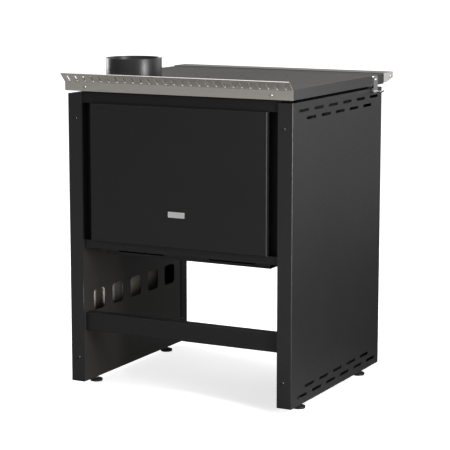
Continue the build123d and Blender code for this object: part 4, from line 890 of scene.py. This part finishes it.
# ---------------------------------------------------------------- oven door
# A cast door like the firebox's, hinged at its foot, with a bead round its window, a brushed
# bar for a handle and a rope seal on its back that closes on the front plate.
oven_low, oven_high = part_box("oven_door_frame")
seal_side = 26 * mm
seal_end = 14 * mm
seal_gap = 0.3 * mm
fit("oven_window_bead", window_bead("oven_door_glass", oven_low[1]), "oven_door", "stove_black")
seal_low = (oven_low[0] + seal_side, oven_high[1], oven_low[2] + seal_end)
seal_high = (oven_high[0] - seal_side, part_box("front_frame")[0][1] - seal_gap, oven_high[2] - seal_end)
fit("oven_door_rope", rope_seal(seal_low, seal_high), "oven_door", "rope_seal")

# ---------------------------------------------------------------- oven thermometer
# A bimetal dial in the oven door: a turned bezel, a white enamelled face with printed degrees,
# a red pointer on its spindle and a flat glass. The sizes are in mm.
dial_foot, dial_radius, dial_length = axis_of(*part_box("oven_thermometer"), forward)
face_radius = dial_radius - 4.3
face_depth = 3
dial_start = 225
dial_sweep = 270
degree_step = 50
degree_count = 6
tick_part = 5
short_tick = 0.55
ink_height = 0.06 * mm
pointer_outline = ((-4, -0.6), (13, -0.15), (13, 0.15), (-4, 0.6))


def dial_ticks(add, given):
    """Tick marks on an arc in the XY plane: the first and every fifth one after it are long."""
    arc = add("CurveArc", {"Resolution": given["Ticks"], "Radius": given["Arc radius"],
                           "Start Angle": given["Start"], "Sweep Angle": given["Sweep"]}, mode="RADIUS")
    spots = add("CurveToPoints", {"Curve": arc, "Count": given["Ticks"]}, mode="COUNT").node.outputs
    count = add("InputIndex")
    left = add("Math", {0: count, 1: tick_part}, operation="MODULO")
    long = add("Math", {0: left, 1: 0.5}, operation="LESS_THAN")
    size = add("MapRange", {0: long, 3: short_tick, 4: 1.0})
    stretch = add("CombineXYZ", {"X": size, "Y": size, "Z": 1.0})
    spot = add("InputPosition")
    facing = add("AlignRotationToVector", {"Vector": spot}, axis="X")
    bar_size = add("CombineXYZ", {"X": given["Tick length"], "Y": given["Tick width"], "Z": ink_height})
    bar = add("MeshCube", {"Size": bar_size})
    return add("InstanceOnPoints", {"Points": spots["Points"], "Instance": bar, "Rotation": facing,
                                    "Scale": stretch})


def figure(text, size):
    """A short printed figure, centred on the origin in the XY plane."""
    letters = bpy.data.curves.new(f"figure_{text}", "FONT")
    letters.body = text
    letters.size = size
    letters.align_x = "CENTER"
    letters.align_y = "CENTER"
    letters.extrude = ink_height / 2
    return painted(plain_mesh(placed(letters.name, letters)), dial_black)


# Baked enamel or print on a dial: even, hard and slightly glossy, with a trace of dust.
dial_white = one_grain("white_dial_enamel", (3, 5), "#d9d7d1", "#e6e4de", (0.3, 0.42))
dial_black = one_grain("black_dial_print", (3, 5), "#151515", "#1f1f1f", (0.4, 0.52))
dial_red = one_grain("red_pointer_lacquer", (3, 5), "#8f1a14", "#a3231b", (0.3, 0.42))
bezel = turned(knob_metal, [(face_radius, 0), (dial_radius, 0), (dial_radius, 4.6), (dial_radius - 0.5, 5.6),
                            (dial_radius - 1.5, 6), (face_radius + 0.8, 5.8), (face_radius, 5.2)],
               dial_foot, forward, closed=True)
face = turned(dial_white, [(0, -1), (face_radius, -1), (face_radius, 0), (0, 0)])
hub = turned(knob_metal, [(0, 0), (1.8, 0), (1.8, 1), (1.2, 1.4), (0, 1.5)], sides=32)
clear = turned(door_glass, [(0, 1.9), (face_radius, 1.9), (face_radius, 2.4), (0, 2.4)])
pointer = bpy.data.meshes.new("dial_pointer")
pointer.from_pydata([(x * mm, y * mm, z * mm) for z in (0.5, 0.8) for x, y in pointer_outline], [],
                    [(3, 2, 1, 0), (4, 5, 6, 7), (0, 1, 5, 4), (1, 2, 6, 5), (2, 3, 7, 6), (3, 0, 4, 7)])
pointer.transform(Matrix.Rotation(radians(dial_start), 4, "Z"))
marks = [grown(dial_ticks, {
    "Ticks": (degree_count - 1) * tick_part + 1, "Arc radius": (face_radius - 2.4) * mm,
    "Start": radians(dial_start - dial_sweep), "Sweep": radians(dial_sweep),
    "Tick length": 2.6 * mm, "Tick width": 0.45 * mm, "Finish": dial_black})]
for index in range(degree_count):
    angle = radians(dial_start - index * dial_sweep / (degree_count - 1))
    number = figure(str((index + 1) * degree_step), 3.4 * mm)
    number.transform(Matrix.Translation((face_radius - 7) * mm * Vector((cos(angle), sin(angle), 0))))
    marks.append(number)
printed = merged(face, *marks, painted(pointer, dial_red), hub)
dial_place = dial_foot + (dial_length - face_depth) * mm * Vector(forward)
for mesh in (printed, clear):
    mesh.transform(Matrix.Translation(dial_place) @ stood_up)
fit("thermometer_face", printed, "oven_door", "brushed_stainless")
fit("thermometer_glass", clear, "oven_door", "door_glass")
fit("thermometer_bezel", bezel, "oven_door", "brushed_stainless", "oven_thermometer")

# ---------------------------------------------------------------- camera
# The photograph's view: from behind the stove's left rear corner, a little above the
# cooktop, from nearly five metres away with a long lens.
photo_px = 450
focal_px = 1718.5
eye = Vector((-2.1929, 4.2466, 1.2234))
yaw = 0.4807
pitch = -0.1631
ahead = Vector((cos(pitch) * sin(yaw), -cos(pitch) * cos(yaw), sin(pitch)))
camera = bpy.data.cameras.new("photo_camera")
camera.sensor_width = 36
camera.lens = camera.sensor_width * focal_px / photo_px
camera.clip_end = 200
camera_object = placed("photo_camera", camera)
camera_object.matrix_world = Matrix.Translation(eye) @ ahead.to_track_quat("-Z", "Y").to_matrix().to_4x4()
bpy.context.scene.camera = camera_object

# ---------------------------------------------------------------- studio
# A pale floor that runs out to pure white, a surround that is white to the eye and that gets
# dimmer in reflections away from its top, and five softboxes: the key at the stove's left, a
# tall narrow one farther out for its edges, a wide one overhead, one in front, one at the right.
floor_size = 60
floor_level = -0.1 * mm
surround_light = 0.32
brightest_way = (-0.3, 0.2, 0.93)
dimmest_at = -0.2
brightest_at = 0.8
dim_side = 0.3
shaded_spot = (-0.6, -1.4, 0)
shaded_grey = 0.05
open_grey = 0.62
floor_pale = 0.9
near_glow = 0.65
near_reach = 1.6
far_reach = 5.0
mirrored_glow = 0.1
mirrored_near = 0.9
mirrored_far = 3.3
softboxes = (("key_softbox", (-1.4, 0.6, 0.85), (-0.3, 0.1, 0.5), 0.8, 1.1, 20),
             ("strip_softbox", (-2.2, 0.95, 0.8), (-0.2, 0.2, 0.8), 0.22, 1.6, 44),
             ("overhead_softbox", (0.2, 0.2, 3.6), (0, 0, 0), 3.0, 3.0, 54),
             ("front_softbox", (-1.4, -2.6, 2.2), (0, 0, 0.4), 3.0, 3.0, 36),
             ("right_softbox", (2.6, -0.7, 1.5), (0, 0, 0.4), 1.2, 1.6, 36))


def eye_rays(add):
    """What kind each light ray is, and whether it reaches the eye straight or through glass."""
    ray = add("LightPath").node.outputs
    return ray, add("Math", {0: ray["Is Camera Ray"], 1: ray["Is Transmission Ray"]}, operation="MAXIMUM")


world = bpy.data.worlds.new("studio")
bpy.context.scene.world = world
world.use_nodes = True
world.node_tree.nodes.clear()
add = partial(node, world)
ray, seen = eye_rays(add)
way = add("TexCoord", give="Object")
nearness = add("VectorMath", {0: way, 1: brightest_way}, give="Value", operation="DOT_PRODUCT")
mirrored = add("MapRange", {0: nearness, 1: dimmest_at, 2: brightest_at, 3: dim_side, 4: 1.0},
               interpolation_type="SMOOTHSTEP")
given = add("MapRange", {0: ray["Is Glossy Ray"], 3: surround_light, 4: mirrored})
strength = add("MapRange", {0: seen, 3: given, 4: 1.0})
surround = add("Background", {"Color": (1, 1, 1, 1), "Strength": strength})
add("OutputWorld", {"Surface": surround})

add, place = grained("studio_floor")
ray, seen = eye_rays(add)
distance = add("VectorMath", {0: place}, give="Value", operation="LENGTH")
# in reflections and bounced light the floor is painted dark round shaded_spot, in front of the stove:
# painted shade; farther out it glows a little in reflections only: painted reflection
off_shade = add("VectorMath", {0: place, 1: shaded_spot}, give="Value", operation="DISTANCE")
grey, far_off = [add("MapRange", {0: off_shade, 1: mirrored_near, 2: mirrored_far, 3: low, 4: high})
                 for low, high in ((shaded_grey, open_grey), (0, mirrored_glow))]
pale = add("MapRange", {0: seen, 3: grey, 4: floor_pale})
lit = add("BsdfDiffuse", {"Color": pale})
outward = add("MapRange", {0: distance, 1: near_reach, 2: far_reach, 3: near_glow, 4: 1.0})
glint = add("Math", {0: ray["Is Glossy Ray"], 1: far_off}, operation="MULTIPLY")
glow = add("Math", {0: seen, 1: outward, 2: glint}, operation="MULTIPLY_ADD")
own = add("Emission", {"Color": (1, 1, 1, 1), "Strength": glow})
both = add("AddShader", {0: lit, 1: own})
add("OutputMaterial", {"Surface": both})
floor_mesh = bpy.data.meshes.new("studio_floor")
half = floor_size / 2
floor_mesh.from_pydata([(-half, -half, floor_level), (half, -half, floor_level),
                        (half, half, floor_level), (-half, half, floor_level)], [], [(0, 1, 2, 3)])
floor_mesh.materials.append(add.args[0])
placed("studio_floor", floor_mesh)

for name, place, target, wide, tall, power in softboxes:
    lamp = bpy.data.lights.new(name, "AREA")
    lamp.shape = "RECTANGLE"
    lamp.size = wide
    lamp.size_y = tall
    lamp.energy = power
    holder = placed(name, lamp)
    holder.visible_camera = False
    aim = (Vector(target) - Vector(place)).to_track_quat("-Z", "Y")
    holder.matrix_world = Matrix.Translation(place) @ aim.to_matrix().to_4x4()

bpy.context.scene.view_settings.view_transform = "Standard"
